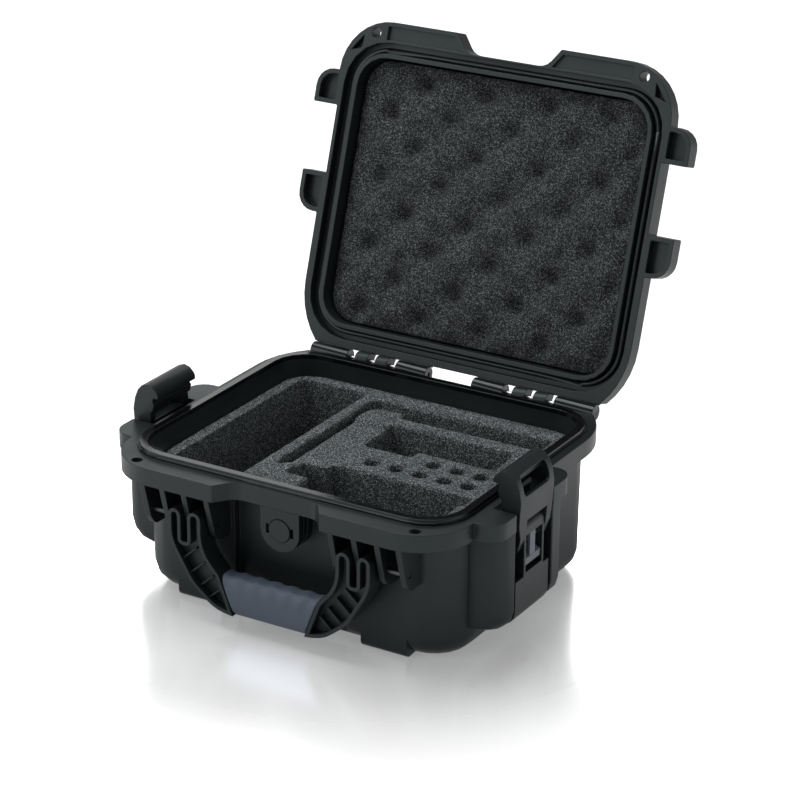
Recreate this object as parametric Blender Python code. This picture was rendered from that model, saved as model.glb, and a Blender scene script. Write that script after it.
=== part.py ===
"""Waterproof hard case, standing with its lid thrown open.

The case is built in metres with +Z up. X runs across the front, the front
faces -Y, and the origin is on the ground, midway between the front edge of the
rim and the hinge axis. The lid is drawn closed and then swung open about the
hinge axis, so that both halves share one set of sizes.
"""
import math

import bmesh
import bpy
from mathutils import Matrix, Vector

# Overall sizes; the closed case is as high as its base and lid together
CASE_WIDTH = 0.317
PARTING_HEIGHT = 0.110
LID_HEIGHT = 0.042
CLOSED_HEIGHT = PARTING_HEIGHT + LID_HEIGHT
OPEN_ANGLE = math.radians(108.0)

# Clearances and working tolerances
FIT_GAP = 0.0003
RUNNING_GAP = 0.0003
SLIDE_GAP = 0.0005
CUT_OVERRUN = 0.006
JOIN_DEPTH = 0.002
CURVE_TOLERANCE = 0.00022

# Rim flange, shared by both halves; the lugs reach out from it to the full width
LUG_REACH = CASE_WIDTH / 2
LUG_LENGTH = 0.0182
FLANGE_HALF_WIDTH = LUG_REACH - LUG_LENGTH
FLANGE_FRONT = 0.1283
FLANGE_REAR = 0.1214
FLANGE_FRONT_RADIUS = 0.0415
FLANGE_REAR_RADIUS = 0.064
FLANGE_REAR_ARC_RISE = 0.044
APRON_HEIGHT = 0.013
APRON_WALL = 0.0035
APRON_ROOF = 0.0045
NOTCH_DEPTH = 0.0143
NOTCH_MOUTH_HALF = 0.0438
NOTCH_FLOOR_HALF = 0.0333
NOTCH_FLOOR_RADIUS = 0.012
EDGE_RADIUS = 0.001
PADLOCK_HOLE_RADIUS = 0.004
PADLOCK_SIDE = 0.0271
PADLOCK_EDGE = 0.00975
PADLOCK_X = FLANGE_HALF_WIDTH - PADLOCK_SIDE

# Latch lugs on the rim
CLAW_GAP_CENTRE = -0.03325
CLAW_GAP_WIDTH = 0.0527
LUG_FRONT_LENGTH = 0.0269
LUG_REAR_LENGTH = 0.0309
LUG_RADIUS = 0.014
LID_RELIEF = 0.0028
LUG_POCKET_WALL = 0.0035
LUG_POCKET_DEPTH = 0.008

# Body of the base, set in under the rim
SIDE_OVERHANG = 0.0083
FRONT_OVERHANG = 0.0297
REAR_OVERHANG = 0.0089
BODY_HALF_WIDTH = FLANGE_HALF_WIDTH - SIDE_OVERHANG
BODY_FRONT = FLANGE_FRONT - FRONT_OVERHANG
BODY_REAR = FLANGE_REAR - REAR_OVERHANG
BODY_CORNER_RADIUS = 0.033
BODY_EDGE_RADIUS = 0.015
BODY_DRAFT = math.radians(1.0)
SIDE_WALL = 0.0085
FRONT_WALL = 0.0106
REAR_WALL = 0.004
FLOOR_WALL = 0.0045
CAVITY_DRAFT = math.radians(1.2)
CAVITY_RADIUS = 0.0245
CAVITY_FLOOR_RADIUS = 0.007
FOOT_HEIGHT = 0.002
FOOT_INNER = 0.058
FOOT_OUTER = 0.095
FOOT_DEPTH = 0.026
FOOT_RADIUS = 0.005
FOOT_SETBACK = 0.001
FOOT_TAPER = 0.0015
FOOT_RISE = 0.0195

# Sealing rim: the ridge on the base and the groove and gasket in the lid
RIM_SIDE_INSET = 0.0133
RIM_FRONT_INSET = 0.0233
RIM_REAR_INSET = 0.0129
RIM_OPENING_HALF = FLANGE_HALF_WIDTH - RIM_SIDE_INSET
RIM_OPENING_FRONT = FLANGE_FRONT - RIM_FRONT_INSET
RIM_REAR = FLANGE_REAR - RIM_REAR_INSET
RIM_SHELF_DROP = 0.009
RIDGE_WIDTH = 0.007
RIDGE_HEIGHT = 0.004
RIDGE_STEP = 0.0009
RIDGE_TOP_STEP = 0.00135
RIDGE_ROOT = 0.003
RIDGE_RADIUS = 0.034
GROOVE_SLACK = 0.0006
GROOVE_DEPTH = 0.008
GASKET_WIDTH = 0.0043
GASKET_CROWN = 0.0012
LIP_WIDTH = 0.0034

# Lid shell
LID_WALL = 0.0035
LID_INNER_DRAFT = math.radians(2.0)
LID_OUTER_GROW = 0.0008
LID_DRAFT = math.radians(3.0)
LID_EDGE_RADIUS = 0.012
LID_CEILING_RADIUS = 0.005
CATCH_HEIGHT = 0.0039
CATCH_OVERLAP = 0.0015
TAB_PANEL_DEPTH = 0.003
TAB_PANEL_WALL = 0.0035
TAB_PANEL_GAP = 0.0097
CORNER_POCKET_REACHES = (0.0035, 0.0035, 0.0100)
CORNER_POCKET_ANGLES = (math.radians(-50), math.radians(-25), math.radians(-37))

# Hinges
HINGE_OFFSET = 0.0066
HINGE_DROP = 0.0011
HINGE_Y = FLANGE_REAR + HINGE_OFFSET
HINGE_Z = PARTING_HEIGHT - HINGE_DROP
HINGE_END_INSET = 0.0186
HINGE_OUTER = FLANGE_HALF_WIDTH - HINGE_END_INSET
HINGE_INNER = 0.0199
KNUCKLE_RADIUS = 0.0062
KNUCKLE_ROOT = 0.004
KNUCKLE_START = math.radians(-60)
KNUCKLE_SWEEP = math.radians(235)
OUTER_KNUCKLE = 0.0323
INNER_KNUCKLE = 0.0263
LID_KNUCKLE = 0.0102
LID_KNUCKLE_CENTRES = (0.0770, 0.05925)
HINGE_PIN_RADIUS = 0.0015
COVER_GAP = 0.0004
COVER_START = math.radians(13)
COVER_SWEEP = math.radians(21)
COVER_WALL = 0.0015
COVER_ROOT = 0.002

# Latch pillars and lever pins
PILLAR_STEP = 0.0005
PILLAR_REACH = LUG_REACH - PILLAR_STEP
PILLAR_SETBACK = 0.0003
PILLAR_FRONT_DEPTH = 0.0136
PILLAR_REAR_DEPTH = 0.0119
PILLAR_CORNER = 0.012
PILLAR_TOE = 0.0150
PILLAR_TOE_DROP = 0.001
PIN_RADIUS = 0.002
LEVER_PIN_INSET = 0.0085
LEVER_PIN_DROP = 0.019
LEVER_PIN_SEAT = 0.0045
LEVER_PIN_X = LUG_REACH - LEVER_PIN_INSET
LEVER_PIN_Z = PARTING_HEIGHT - LEVER_PIN_DROP

# Lever
LEVER_BARREL_RADIUS = 0.0068
STEM_OFFSET = 0.00225
STEM_CENTRE = CLAW_GAP_CENTRE + STEM_OFFSET
LEVER_STEM_WIDTH = 0.028
LEVER_STILE = 0.0023
LEVER_FRONT_REACH = 0.007
LEVER_BACK_REACH = 0.0055
LEVER_TOE_REACH = 0.0045
LEVER_WINDOW_DROP = 0.004
LEVER_WINDOW_HEIGHT = 0.028
LEVER_SILL = 0.002
LEVER_PAD_HEIGHT = 0.0335
LEVER_PAD_THICKNESS = 0.0062
LEVER_TOE_RADIUS = 0.014
LEVER_TOE_LIP = 0.004
LEVER_FRONT = LEVER_PIN_X + LEVER_FRONT_REACH
LEVER_STEM_BACK = LEVER_PIN_X - LEVER_BACK_REACH
LEVER_TOE_BACK = LEVER_PIN_X - LEVER_TOE_REACH
LEVER_WINDOW_TOP = LEVER_PIN_Z - LEVER_WINDOW_DROP
LEVER_WINDOW_BOTTOM = LEVER_WINDOW_TOP - LEVER_WINDOW_HEIGHT
LEVER_SHOULDER = LEVER_WINDOW_BOTTOM - LEVER_SILL
LEVER_PAD_BOTTOM = LEVER_SHOULDER - LEVER_PAD_HEIGHT
PILLAR_BOTTOM = LEVER_PAD_BOTTOM - PILLAR_TOE_DROP

# Lock slide in the lever's window
SLIDE_TRAVEL = 0.004
SLIDE_FOOT_HEIGHT = 0.0085
SLIDE_FOOT_SLOPE = 0.0035
SLIDE_POST_WIDTH = 0.0075
SLIDE_POST_THICKNESS = 0.0021
SLIDE_TONGUE = 0.0009
SLIDE_TONGUE_THICKNESS = 0.002
SLIDE_FRONT_SETBACK = 0.0012
SLIDE_POST_SETBACK = 0.0014
SLIDE_BACK_SETBACK = 0.0090

# Claw: its pin lies below the lever pin, and its hook reaches over the lid
CLAW_PIN_OFFSET = 0.001
CLAW_PIN_DROP = 0.011
CLAW_PIN_X = LEVER_PIN_X + CLAW_PIN_OFFSET
CLAW_PIN_Z = LEVER_PIN_Z - CLAW_PIN_DROP
CLAW_PLAY = 0.0052
CLAW_WIDTH = CLAW_GAP_WIDTH - CLAW_PLAY
CLAW_REACH = 0.0232
CLAW_RISE = 0.0576
CLAW_FACE = 0.0062
CLAW_EYE_RADIUS = 0.0043
CLAW_EYE_START = math.radians(10)
CLAW_NECK_START = 0.0086
CLAW_NECK_THICKNESS = 0.0038
CLAW_ARM_PLAY = 0.0007
CLAW_ARM_GAP = LEVER_STEM_WIDTH + CLAW_ARM_PLAY
CLAW_ARM_TIP = 0.0060
CLAW_LEAN = math.radians(4.7)
CLAW_CROTCH = 0.0215
CLAW_WINDOW_LOW = 0.040
CLAW_WINDOW_HIGH = 0.054
CLAW_CHEEK = 0.0055
CLAW_SKIN = 0.0036
CLAW_WEB_STEP = 0.0065
CLAW_HOLLOW_TOP = 0.048

# Handle: its arms end in two arches with a loop between them
FIN_WIDTH = 0.0043
FIN_SETBACK = 0.0023
FIN_DROP = 0.0123
FIN_TOE_HEIGHT = 0.0075
FIN_REACH = FLANGE_FRONT - FIN_SETBACK
HANDLE_FRONT = FIN_REACH
HANDLE_PIN_DEPTH = 0.0125
HANDLE_PIN_DROP = 0.0366
HANDLE_PIN_Y = HANDLE_FRONT - HANDLE_PIN_DEPTH
HANDLE_PIN_Z = PARTING_HEIGHT - HANDLE_PIN_DROP
FIN_BOTTOM = HANDLE_PIN_Z - FIN_DROP
HANDLE_THICKNESS = 0.016
HANDLE_RIB = 0.0026
HANDLE_WEB = 0.0027
HANDLE_CHANNEL = 0.007
HANDLE_RISE = 0.0108
HANDLE_TOP = HANDLE_PIN_Z + HANDLE_RISE
OUTER_LEG_X = 0.0825
OUTER_ARCH_WIDTH = 0.0103
LOOP_WIDTH = 0.0058
LOOP_RADIUS = 0.0015
LOOP_DROP = 0.0133
LOOP_BOTTOM = HANDLE_PIN_Z - LOOP_DROP
INNER_ARCH_WIDTH = 0.0110
CROSS_RIB = 0.0012
ARM_BEND_RADIUS = 0.030
ARM_PLAY = 0.00045
ARM_RIB_LENGTH = 0.0175
CORE_INSET = 0.003

# The ears that carry the handle pins: one inside the loop, the others beside the arches
INNER_LEG_X = OUTER_LEG_X - OUTER_ARCH_WIDTH - LOOP_WIDTH - INNER_ARCH_WIDTH
INNER_FIN_GAP = 0.0049
OUTER_FIN_GAP = 0.005
LAST_FIN_GAP = 0.017
FIN_CENTRES = (
    INNER_LEG_X - INNER_FIN_GAP,
    OUTER_LEG_X - OUTER_ARCH_WIDTH - LOOP_WIDTH / 2,
    OUTER_LEG_X + OUTER_FIN_GAP,
    OUTER_LEG_X + OUTER_FIN_GAP + LAST_FIN_GAP,
)
HANDLE_PIN_SEAT = 0.0013
HANDLE_PIN_END = FIN_CENTRES[-1] + HANDLE_PIN_SEAT
RECESS_SIDE_GAP = 0.0055
HANDLE_RECESS_HALF = FIN_CENTRES[0] - RECESS_SIDE_GAP
HANDLE_RECESS_DEPTH = 0.0066
HANDLE_RECESS_DROP = 0.0105
HANDLE_RECESS_TOP = PARTING_HEIGHT - HANDLE_RECESS_DROP

# Grip
GRIP_DROP = 0.0319
GRIP_HEIGHT = 0.0295
GRIP_TOP = HANDLE_PIN_Z - GRIP_DROP
GRIP_BOTTOM = GRIP_TOP - GRIP_HEIGHT
GRIP_TOP_HALF = 0.0405
GRIP_BOTTOM_HALF = 0.0290
GRIP_THICKNESS = 0.018
GRIP_ROUNDING = 0.0065
GRIP_SCALLOP = 0.0007
GRIP_SCALLOPS = 6
GRIP_SCALLOP_STEPS = 4
HANDLE_CORE_RISE = 0.007
HANDLE_CORE_HEIGHT = 0.016
HANDLE_CORE_LOW = GRIP_BOTTOM + HANDLE_CORE_RISE
HANDLE_CORE_HIGH = HANDLE_CORE_LOW + HANDLE_CORE_HEIGHT

# Pressure valve on the front wall
VALVE_TOP_DROP = 0.006
VALVE_DROP = 0.025
VALVE_TOP = PARTING_HEIGHT - VALVE_TOP_DROP
VALVE_CENTRE_Z = VALVE_TOP - VALVE_DROP
VALVE_RADIUS = 0.016
VALVE_BOSS_PROUD = 0.0004
VALVE_BOSS_FRONT = -BODY_FRONT - VALVE_BOSS_PROUD
VALVE_COVER_PROUD = 0.0114
VALVE_COVER_FRONT = BODY_FRONT + VALVE_COVER_PROUD
VALVE_COVER_THICKNESS = 0.0056
VALVE_PLATE_THICKNESS = 0.0028
VALVE_STEP = 0.0022
VALVE_PLATE_STEP = 0.0004
KNOB_RADIUS = 0.0085
KNOB_DEPTH = 0.0030
KNOB_PROUD = 0.0006
KNOB_SLOT_WIDTH = 0.0026
KNOB_SLOT_HEIGHT = 0.007
KNOB_SLOT_X = 0.0099

# Foam
FOAM_DROP = 0.013
FOAM_TOP = PARTING_HEIGHT - FOAM_DROP
FOAM_STEP = 0.003
FOAM_PAD_THICKNESS = 0.015
FOAM_HOLE_RADIUS = 0.006
FOAM_DEEP = 0.050
FOAM_SHALLOW = 0.034
FOAM_CORNER = 0.003
LID_FOAM_REACH = 0.0045
LID_FOAM_WAVE = 0.0085
LID_FOAM_EDGE_DROP = 0.003
LID_FOAM_PITCH_X = 0.0524
LID_FOAM_PITCH_Y = 0.0508
LID_FOAM_COLUMNS = 34
LID_FOAM_ROWS = 27

# Shading and counts of segments
SHARP_ANGLE = math.radians(35)
CORNER_STEPS = 5
EDGE_STEPS = 3
PIN_SIDES = 12
HOLE_SIDES = 16
KNUCKLE_STEPS = 9
COVER_STEPS = 4

# Claw outline from its pin: shares of CLAW_REACH inward from its face and of CLAW_RISE upward
CLAW_BACK_SHARES = (
    (0.000, 0.365), (0.009, 0.486), (0.017, 0.660), (0.115, 0.806), (0.260, 0.920),
    (0.415, 0.978), (0.635, 1.000), (0.830, 0.969), (0.957, 0.908), (1.000, 0.865),
)
CLAW_HOOK_SHARES = (
    (0.995, 0.819), (0.822, 0.819), (0.767, 0.767), (0.815, 0.733), (0.755, 0.650),
    (0.655, 0.622), (0.655, 0.530), (0.560, 0.430), (0.400, 0.365),
)

CLAW_HOLLOW_SHARE = 0.70
CLAW_WINDOW_SHARE = 0.40

# Handle arm: shares of OUTER_LEG_X outward and of the handle's height upward
ARM_OUTER_SHARES = ((0.545, 0.034), (0.782, 0.249), (1.000, 0.665))
ARM_INNER_SHARE = 0.623
ARM_RIB_LINE_SHARES = ((0.850, 0.580), (0.500, 0.125))
ARM_RIB_SHARES = (0.10, 0.36, 0.62, 0.86)
ARM_RIB_TAPER_SHARE = 0.333

# Where the lid foam's hollows lie, in shares of their pitch
LID_FOAM_PHASE_X_SHARE = 0.2
LID_FOAM_PHASE_Y_SHARE = 0.8

# Foam pockets: shares of the insert's width from its centre and of its depth from the front
LEFT_POCKET_SHARES = (-0.459, -0.2215, 0.050, 0.943)
PLATFORM_SHARES = (-0.170, 0.440, 0.240, 0.712)
MID_LEFT_SHARES = (-0.041, 0.122, 0.540, 0.735)
MID_RIGHT_SHARES = (0.080, 0.374, 0.590, 0.735)
FRONT_POCKET_SHARES = (-0.041, 0.419, 0.080, 0.335)
FRONT_NOTCH_SHARES = (-0.122, 0.030, 0.162, 0.289)
# The slot and the trench behind it: shares of width and depth, and of FOAM_CORNER for each rounding
TRENCH_SHARES = (
    (-0.183, 0.218, 0.7), (-0.1565, 0.218, 0.7), (-0.1565, 0.843, 4.0), (-0.041, 0.843, 1.0),
    (-0.041, 0.800, 0.7), (0.431, 0.800, 1.0), (0.431, 0.912, 1.3), (-0.183, 0.912, 2.0),
)
FRONT_HOLE_SHARES = (0.045, 0.126, 0.2075, 0.289, 0.366)
FRONT_HOLE_DEPTH_SHARE = 0.4206
REAR_HOLE_SHARES = (0.2075, 0.289, 0.366)
REAR_HOLE_DEPTH_SHARE = 0.5166

# Places worked out from the sizes above
BASE_APRON_BOTTOM = PARTING_HEIGHT - APRON_HEIGHT
BASE_ROOF = PARTING_HEIGHT - APRON_ROOF
LID_APRON_TOP = PARTING_HEIGHT + APRON_HEIGHT
GAP_FRONT = CLAW_GAP_CENTRE - CLAW_GAP_WIDTH / 2
GAP_REAR = CLAW_GAP_CENTRE + CLAW_GAP_WIDTH / 2
FLOOR_TOP = FOOT_HEIGHT + FLOOR_WALL
CLAW_FACE_X = CLAW_PIN_X + CLAW_FACE
PAD_TOP = FLOOR_TOP + FIT_GAP + FOAM_PAD_THICKNESS
CATCH_TOP = LID_APRON_TOP + CATCH_HEIGHT
LID_CEILING = CLOSED_HEIGHT - LID_WALL
SIDES = ((-1, "left"), (1, "right"))


def clear_scene():
    for thing in list(bpy.data.objects):
        bpy.data.objects.remove(thing, do_unlink=True)


def make_material(name, colour, roughness, metallic=0.0):
    material = bpy.data.materials.new(name)
    material.use_nodes = True
    shader = material.node_tree.nodes["Principled BSDF"]
    shader.inputs["Base Color"].default_value = (*colour, 1.0)
    shader.inputs["Roughness"].default_value = roughness
    shader.inputs["Metallic"].default_value = metallic
    material.diffuse_color = (*colour, 1.0)
    return material


def add_object(name, mesh, material=None):
    thing = bpy.data.objects.new(name, mesh)
    bpy.context.scene.collection.objects.link(thing)
    if material:
        mesh.materials.append(material)
    return thing


def mesh_from(name, verts, faces):
    """A closed mesh with its faces turned outward."""
    builder = bmesh.new()
    corners = [builder.verts.new(v) for v in verts]
    for face in faces:
        builder.faces.new([corners[i] for i in face])
    bmesh.ops.recalc_face_normals(builder, faces=builder.faces[:])
    mesh = bpy.data.meshes.new(name)
    builder.to_mesh(mesh)
    builder.free()
    mesh.shade_smooth()
    mesh.set_sharp_from_angle(angle=SHARP_ANGLE)
    return mesh


def loft(name, rings, material=None, closed=False):
    """Skin rings of equally many points, capped at both ends unless the rings close on themselves."""
    count = len(rings[0])
    verts = [point for ring in rings for point in ring]
    faces = []
    spans = len(rings) if closed else len(rings) - 1
    for row in range(spans):
        above = (row + 1) % len(rings)
        for i in range(count):
            j = (i + 1) % count
            faces.append((row * count + i, row * count + j, above * count + j, above * count + i))
    if not closed:
        faces.append(tuple(range(count)))
        faces.append(tuple((len(rings) - 1) * count + i for i in range(count)))
    return add_object(name, mesh_from(name, verts, faces), material)


def lay(outline, axis, place):
    """Points of a flat outline, set at a place along an axis; the outline keeps the order X, Y, Z."""
    if axis == "x":
        return [(place, a, b) for a, b in outline]
    if axis == "y":
        return [(a, place, b) for a, b in outline]
    return [(a, b, place) for a, b in outline]


def prism(name, outline, low, high, axis="z", material=None):
    return loft(name, [lay(outline, axis, low), lay(outline, axis, high)], material)


def box(name, low, high, material=None):
    outline = [(low[0], low[1]), (high[0], low[1]), (high[0], high[1]), (low[0], high[1])]
    return prism(name, outline, low[2], high[2], "z", material)


def cylinder(name, centre, radius, low, high, axis, sides=PIN_SIDES, material=None):
    ring = [(centre[0] + radius * math.cos(math.tau * k / sides),
             centre[1] + radius * math.sin(math.tau * k / sides)) for k in range(sides)]
    return prism(name, ring, low, high, axis, material)


def arc_steps(radius, turn):
    """Segments that keep an arc within the curve tolerance."""
    if radius <= CURVE_TOLERANCE:
        return 1
    widest = 2 * math.acos(1 - CURVE_TOLERANCE / radius)
    return max(1, math.ceil(abs(turn) / widest))


def fillet(corners, steps=None):
    """Round the corners of a closed outline; each corner is x, y and a radius."""
    count = len(corners)
    spots = [Vector((x, y)) for x, y, radius in corners]
    turns, reaches = [], []
    for i, (x, y, radius) in enumerate(corners):
        before = (spots[i] - spots[i - 1]).normalized()
        after = (spots[(i + 1) % count] - spots[i]).normalized()
        turn = math.atan2(before.cross(after), before.dot(after))
        turns.append(turn)
        reaches.append(radius * math.tan(abs(turn) / 2))
    outline = []
    for i, (x, y, radius) in enumerate(corners):
        back = (spots[i - 1] - spots[i]).length
        ahead = (spots[(i + 1) % count] - spots[i]).length
        share = min(1, back / max(reaches[i] + reaches[i - 1], CURVE_TOLERANCE),
                    ahead / max(reaches[i] + reaches[(i + 1) % count], CURVE_TOLERANCE))
        reach = reaches[i] * share
        if reach < CURVE_TOLERANCE / 2:
            outline.append(tuple(spots[i]))
            continue
        before = (spots[i] - spots[i - 1]).normalized()
        turn = turns[i]
        size = reach / math.tan(abs(turn) / 2)
        side = Vector((-before.y, before.x)) * math.copysign(size, turn)
        centre = spots[i] - before * reach + side
        segments = steps or arc_steps(size, turn)
        for k in range(segments + 1):
            arm = -side
            arm = Matrix.Rotation(turn * k / segments, 2) @ arm
            outline.append(tuple(centre + arm))
    return outline


def mirrored(corners):
    """Corners of a half outline followed by their mirror images in X."""
    return corners + [(-x, y, radius) for x, y, radius in reversed(corners)]


def inset(corners, distance):
    """Move each side of a counterclockwise outline inward, keeping its arcs concentric."""
    count = len(corners)
    result = []
    for i, (x, y, radius) in enumerate(corners):
        spot = Vector((x, y))
        before = (spot - Vector(corners[i - 1][:2])).normalized()
        after = (Vector(corners[(i + 1) % count][:2]) - spot).normalized()
        normal_before = Vector((-before.y, before.x))
        normal_after = Vector((-after.y, after.x))
        shift = (normal_before + normal_after) / (1 + normal_before.dot(normal_after))
        turn = before.cross(after)
        size = radius - distance if turn > 0 else radius + distance
        moved = spot + shift * distance
        result.append((moved.x, moved.y, max(size, 0.0)))
    return result


def rounded_rect(half_width, front, rear, radius):
    corners = [(half_width, front, radius), (half_width, rear, radius),
               (-half_width, rear, radius), (-half_width, front, radius)]
    return fillet(corners, CORNER_STEPS)


def hide_tool(thing):
    thing.hide_render = True
    thing.display_type = "WIRE"


def boolean(target, tools, operation):
    """One live Boolean modifier that applies a whole group of tool solids."""
    group = bpy.data.collections.new(f"{target.name}_{operation.lower()}_{len(target.modifiers)}")
    bpy.context.scene.collection.children.link(group)
    for tool in tools:
        for holder in list(tool.users_collection):
            holder.objects.unlink(tool)
        group.objects.link(tool)
        hide_tool(tool)
    modifier = target.modifiers.new(operation.title(), "BOOLEAN")
    modifier.operation = operation
    modifier.operand_type = "COLLECTION"
    modifier.collection = group
    modifier.solver = "EXACT"


def join(target, tools):
    boolean(target, tools, "UNION")


def cut(target, tools):
    boolean(target, tools, "DIFFERENCE")


def flange_corners(gap_half):
    """Outline of the rim: notched front, lugs beside the claw gaps and clipped rear corners."""
    notch_floor = -(FLANGE_FRONT - NOTCH_DEPTH)
    rear_turn = math.asin(FLANGE_REAR_ARC_RISE / FLANGE_REAR_RADIUS)
    rear_reach = FLANGE_REAR_RADIUS * math.tan(rear_turn / 2)
    rear_start = FLANGE_REAR - FLANGE_REAR_ARC_RISE
    rear_corner_x = FLANGE_HALF_WIDTH - FLANGE_REAR_RADIUS * (1 - math.cos(rear_turn))
    lug_front = GAP_FRONT - LUG_FRONT_LENGTH
    lug_rear = GAP_REAR + LUG_REAR_LENGTH
    half = [
        (NOTCH_FLOOR_HALF, notch_floor, NOTCH_FLOOR_RADIUS),
        (NOTCH_MOUTH_HALF, -FLANGE_FRONT, EDGE_RADIUS),
        (FLANGE_HALF_WIDTH, -FLANGE_FRONT, FLANGE_FRONT_RADIUS),
        (FLANGE_HALF_WIDTH, lug_front, 0),
        (LUG_REACH, lug_front, LUG_RADIUS),
        (LUG_REACH, GAP_FRONT, EDGE_RADIUS),
        (gap_half, GAP_FRONT, EDGE_RADIUS),
        (gap_half, GAP_REAR, EDGE_RADIUS),
        (LUG_REACH, GAP_REAR, EDGE_RADIUS),
        (LUG_REACH, lug_rear, LUG_RADIUS),
        (FLANGE_HALF_WIDTH, lug_rear, EDGE_RADIUS),
        (FLANGE_HALF_WIDTH, rear_start + rear_reach, FLANGE_REAR_RADIUS),
        (rear_corner_x, FLANGE_REAR, 0),
    ]
    return mirrored(half)


def body_ring(height, shrink=0.0):
    """Outside of the base body at a height, drawn in by its draft and by a bottom rounding."""
    inward = (PARTING_HEIGHT - height) * math.tan(BODY_DRAFT) / 2 + shrink
    outline = rounded_rect(BODY_HALF_WIDTH - inward, -BODY_FRONT + inward, BODY_REAR - inward,
                           BODY_CORNER_RADIUS - shrink)
    return lay(outline, "z", height)


def cavity_ring(height, shrink=0.0):
    """Inside of the base below its sloping shelf."""
    inward = (FOAM_TOP - height) * math.tan(CAVITY_DRAFT) + shrink
    outline = rounded_rect(BODY_HALF_WIDTH - SIDE_WALL - inward, -BODY_FRONT + FRONT_WALL + inward,
                           BODY_REAR - REAR_WALL - inward, CAVITY_RADIUS - shrink)
    return lay(outline, "z", height)


def rounded_rings(ring, start, radius, end):
    """Rings from a rounded bottom edge up to an end height."""
    rings = []
    for k in range(EDGE_STEPS + 1):
        angle = math.pi / 2 * k / EDGE_STEPS
        rings.append(ring(start + radius * (1 - math.cos(angle)), radius * (1 - math.sin(angle))))
    rings.append(ring(end))
    return rings


def opening_outline(grow):
    """The rim's opening, grown outward by a distance."""
    return rounded_rect(RIM_OPENING_HALF + grow, -RIM_OPENING_FRONT - grow, RIM_REAR + grow,
                        RIDGE_RADIUS - RIDGE_WIDTH + grow)


def base_body():
    return loft("body_block", rounded_rings(body_ring, FOOT_HEIGHT, BODY_EDGE_RADIUS,
                                            PARTING_HEIGHT - JOIN_DEPTH))


def base_ridge():
    """The stepped ridge that the lid's groove drops over."""
    root = PARTING_HEIGHT - RIDGE_ROOT
    half = PARTING_HEIGHT + RIDGE_HEIGHT / 2
    top = PARTING_HEIGHT + RIDGE_HEIGHT
    rings = [lay(opening_outline(RIDGE_WIDTH), "z", root),
             lay(opening_outline(RIDGE_WIDTH), "z", half),
             lay(opening_outline(RIDGE_WIDTH - RIDGE_STEP), "z", half),
             lay(opening_outline(RIDGE_WIDTH - RIDGE_TOP_STEP), "z", top)]
    return loft("ridge_block", rings)


def base_cavity():
    """Room for the foam, widening over a sloping shelf to the rim's opening."""
    rings = rounded_rings(cavity_ring, FLOOR_TOP, CAVITY_FLOOR_RADIUS, FOAM_TOP)
    rings.append(cavity_ring(PARTING_HEIGHT - RIM_SHELF_DROP))
    rings.append(lay(opening_outline(0), "z", PARTING_HEIGHT))
    rings.append(lay(opening_outline(0), "z", PARTING_HEIGHT + RIDGE_HEIGHT + CUT_OVERRUN))
    return loft("cavity_cut", rings)


def foot_blocks():
    """Four feet that fill the body's bottom rounding, almost flush with its front and rear.

    In plan each foot narrows towards the middle of the case, by the taper on either side.
    """
    blocks = []
    for end, toward in ((-BODY_FRONT, 1), (BODY_REAR, -1)):
        outer = end + toward * FOOT_SETBACK
        inner = end + toward * FOOT_DEPTH
        outline = fillet([(outer, 0, FOOT_RADIUS), (inner, 0, FOOT_RADIUS),
                          (inner, BODY_EDGE_RADIUS, 0), (outer, FOOT_RISE, 0)], EDGE_STEPS)
        for side in (-1, 1):
            left, right = sorted((side * FOOT_INNER, side * FOOT_OUTER))
            rings = [[(edge + way * FOOT_TAPER * (y - outer) / (inner - outer), y, z)
                      for y, z in outline] for edge, way in ((left, 1), (right, -1))]
            blocks.append(loft("foot_block", rings))
    return blocks


def pillar(side, gap_edge, far_edge, corner):
    """A latch pillar whose lower outer edge is rounded off."""
    inner = BODY_HALF_WIDTH - SIDE_WALL / 2
    rings = []
    for k in range(EDGE_STEPS + 2):
        if k <= EDGE_STEPS:
            angle = math.pi / 2 * k / EDGE_STEPS
            height = PILLAR_BOTTOM + PILLAR_TOE * (1 - math.cos(angle))
            outer = PILLAR_REACH - PILLAR_TOE * (1 - math.sin(angle))
        else:
            height = BASE_ROOF + JOIN_DEPTH / 2
            outer = PILLAR_REACH
        corners = [(side * inner, far_edge, 0), (side * outer, far_edge, corner),
                   (side * outer, gap_edge, EDGE_RADIUS), (side * inner, gap_edge, 0)]
        rings.append(lay(fillet(corners, EDGE_STEPS), "z", height))
    return loft("pillar_block", rings)


def handle_fin(centre):
    """One of the ears that carry the handle pin."""
    root = -BODY_FRONT + JOIN_DEPTH
    top = BASE_ROOF + JOIN_DEPTH / 2
    corners = [(root, FIN_BOTTOM), (-HANDLE_PIN_Y, FIN_BOTTOM),
               (-FIN_REACH + FIN_TOE_HEIGHT, FIN_BOTTOM + FIN_TOE_HEIGHT),
               (-FIN_REACH, BASE_APRON_BOTTOM - EDGE_RADIUS), (-FIN_REACH, top), (root, top)]
    radii = (0, FIN_TOE_HEIGHT, FIN_TOE_HEIGHT, 0, 0, 0)
    outline = fillet([(y, z, radius) for (y, z), radius in zip(corners, radii)])
    return prism("fin_block", outline, centre - FIN_WIDTH / 2, centre + FIN_WIDTH / 2, "x")


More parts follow.
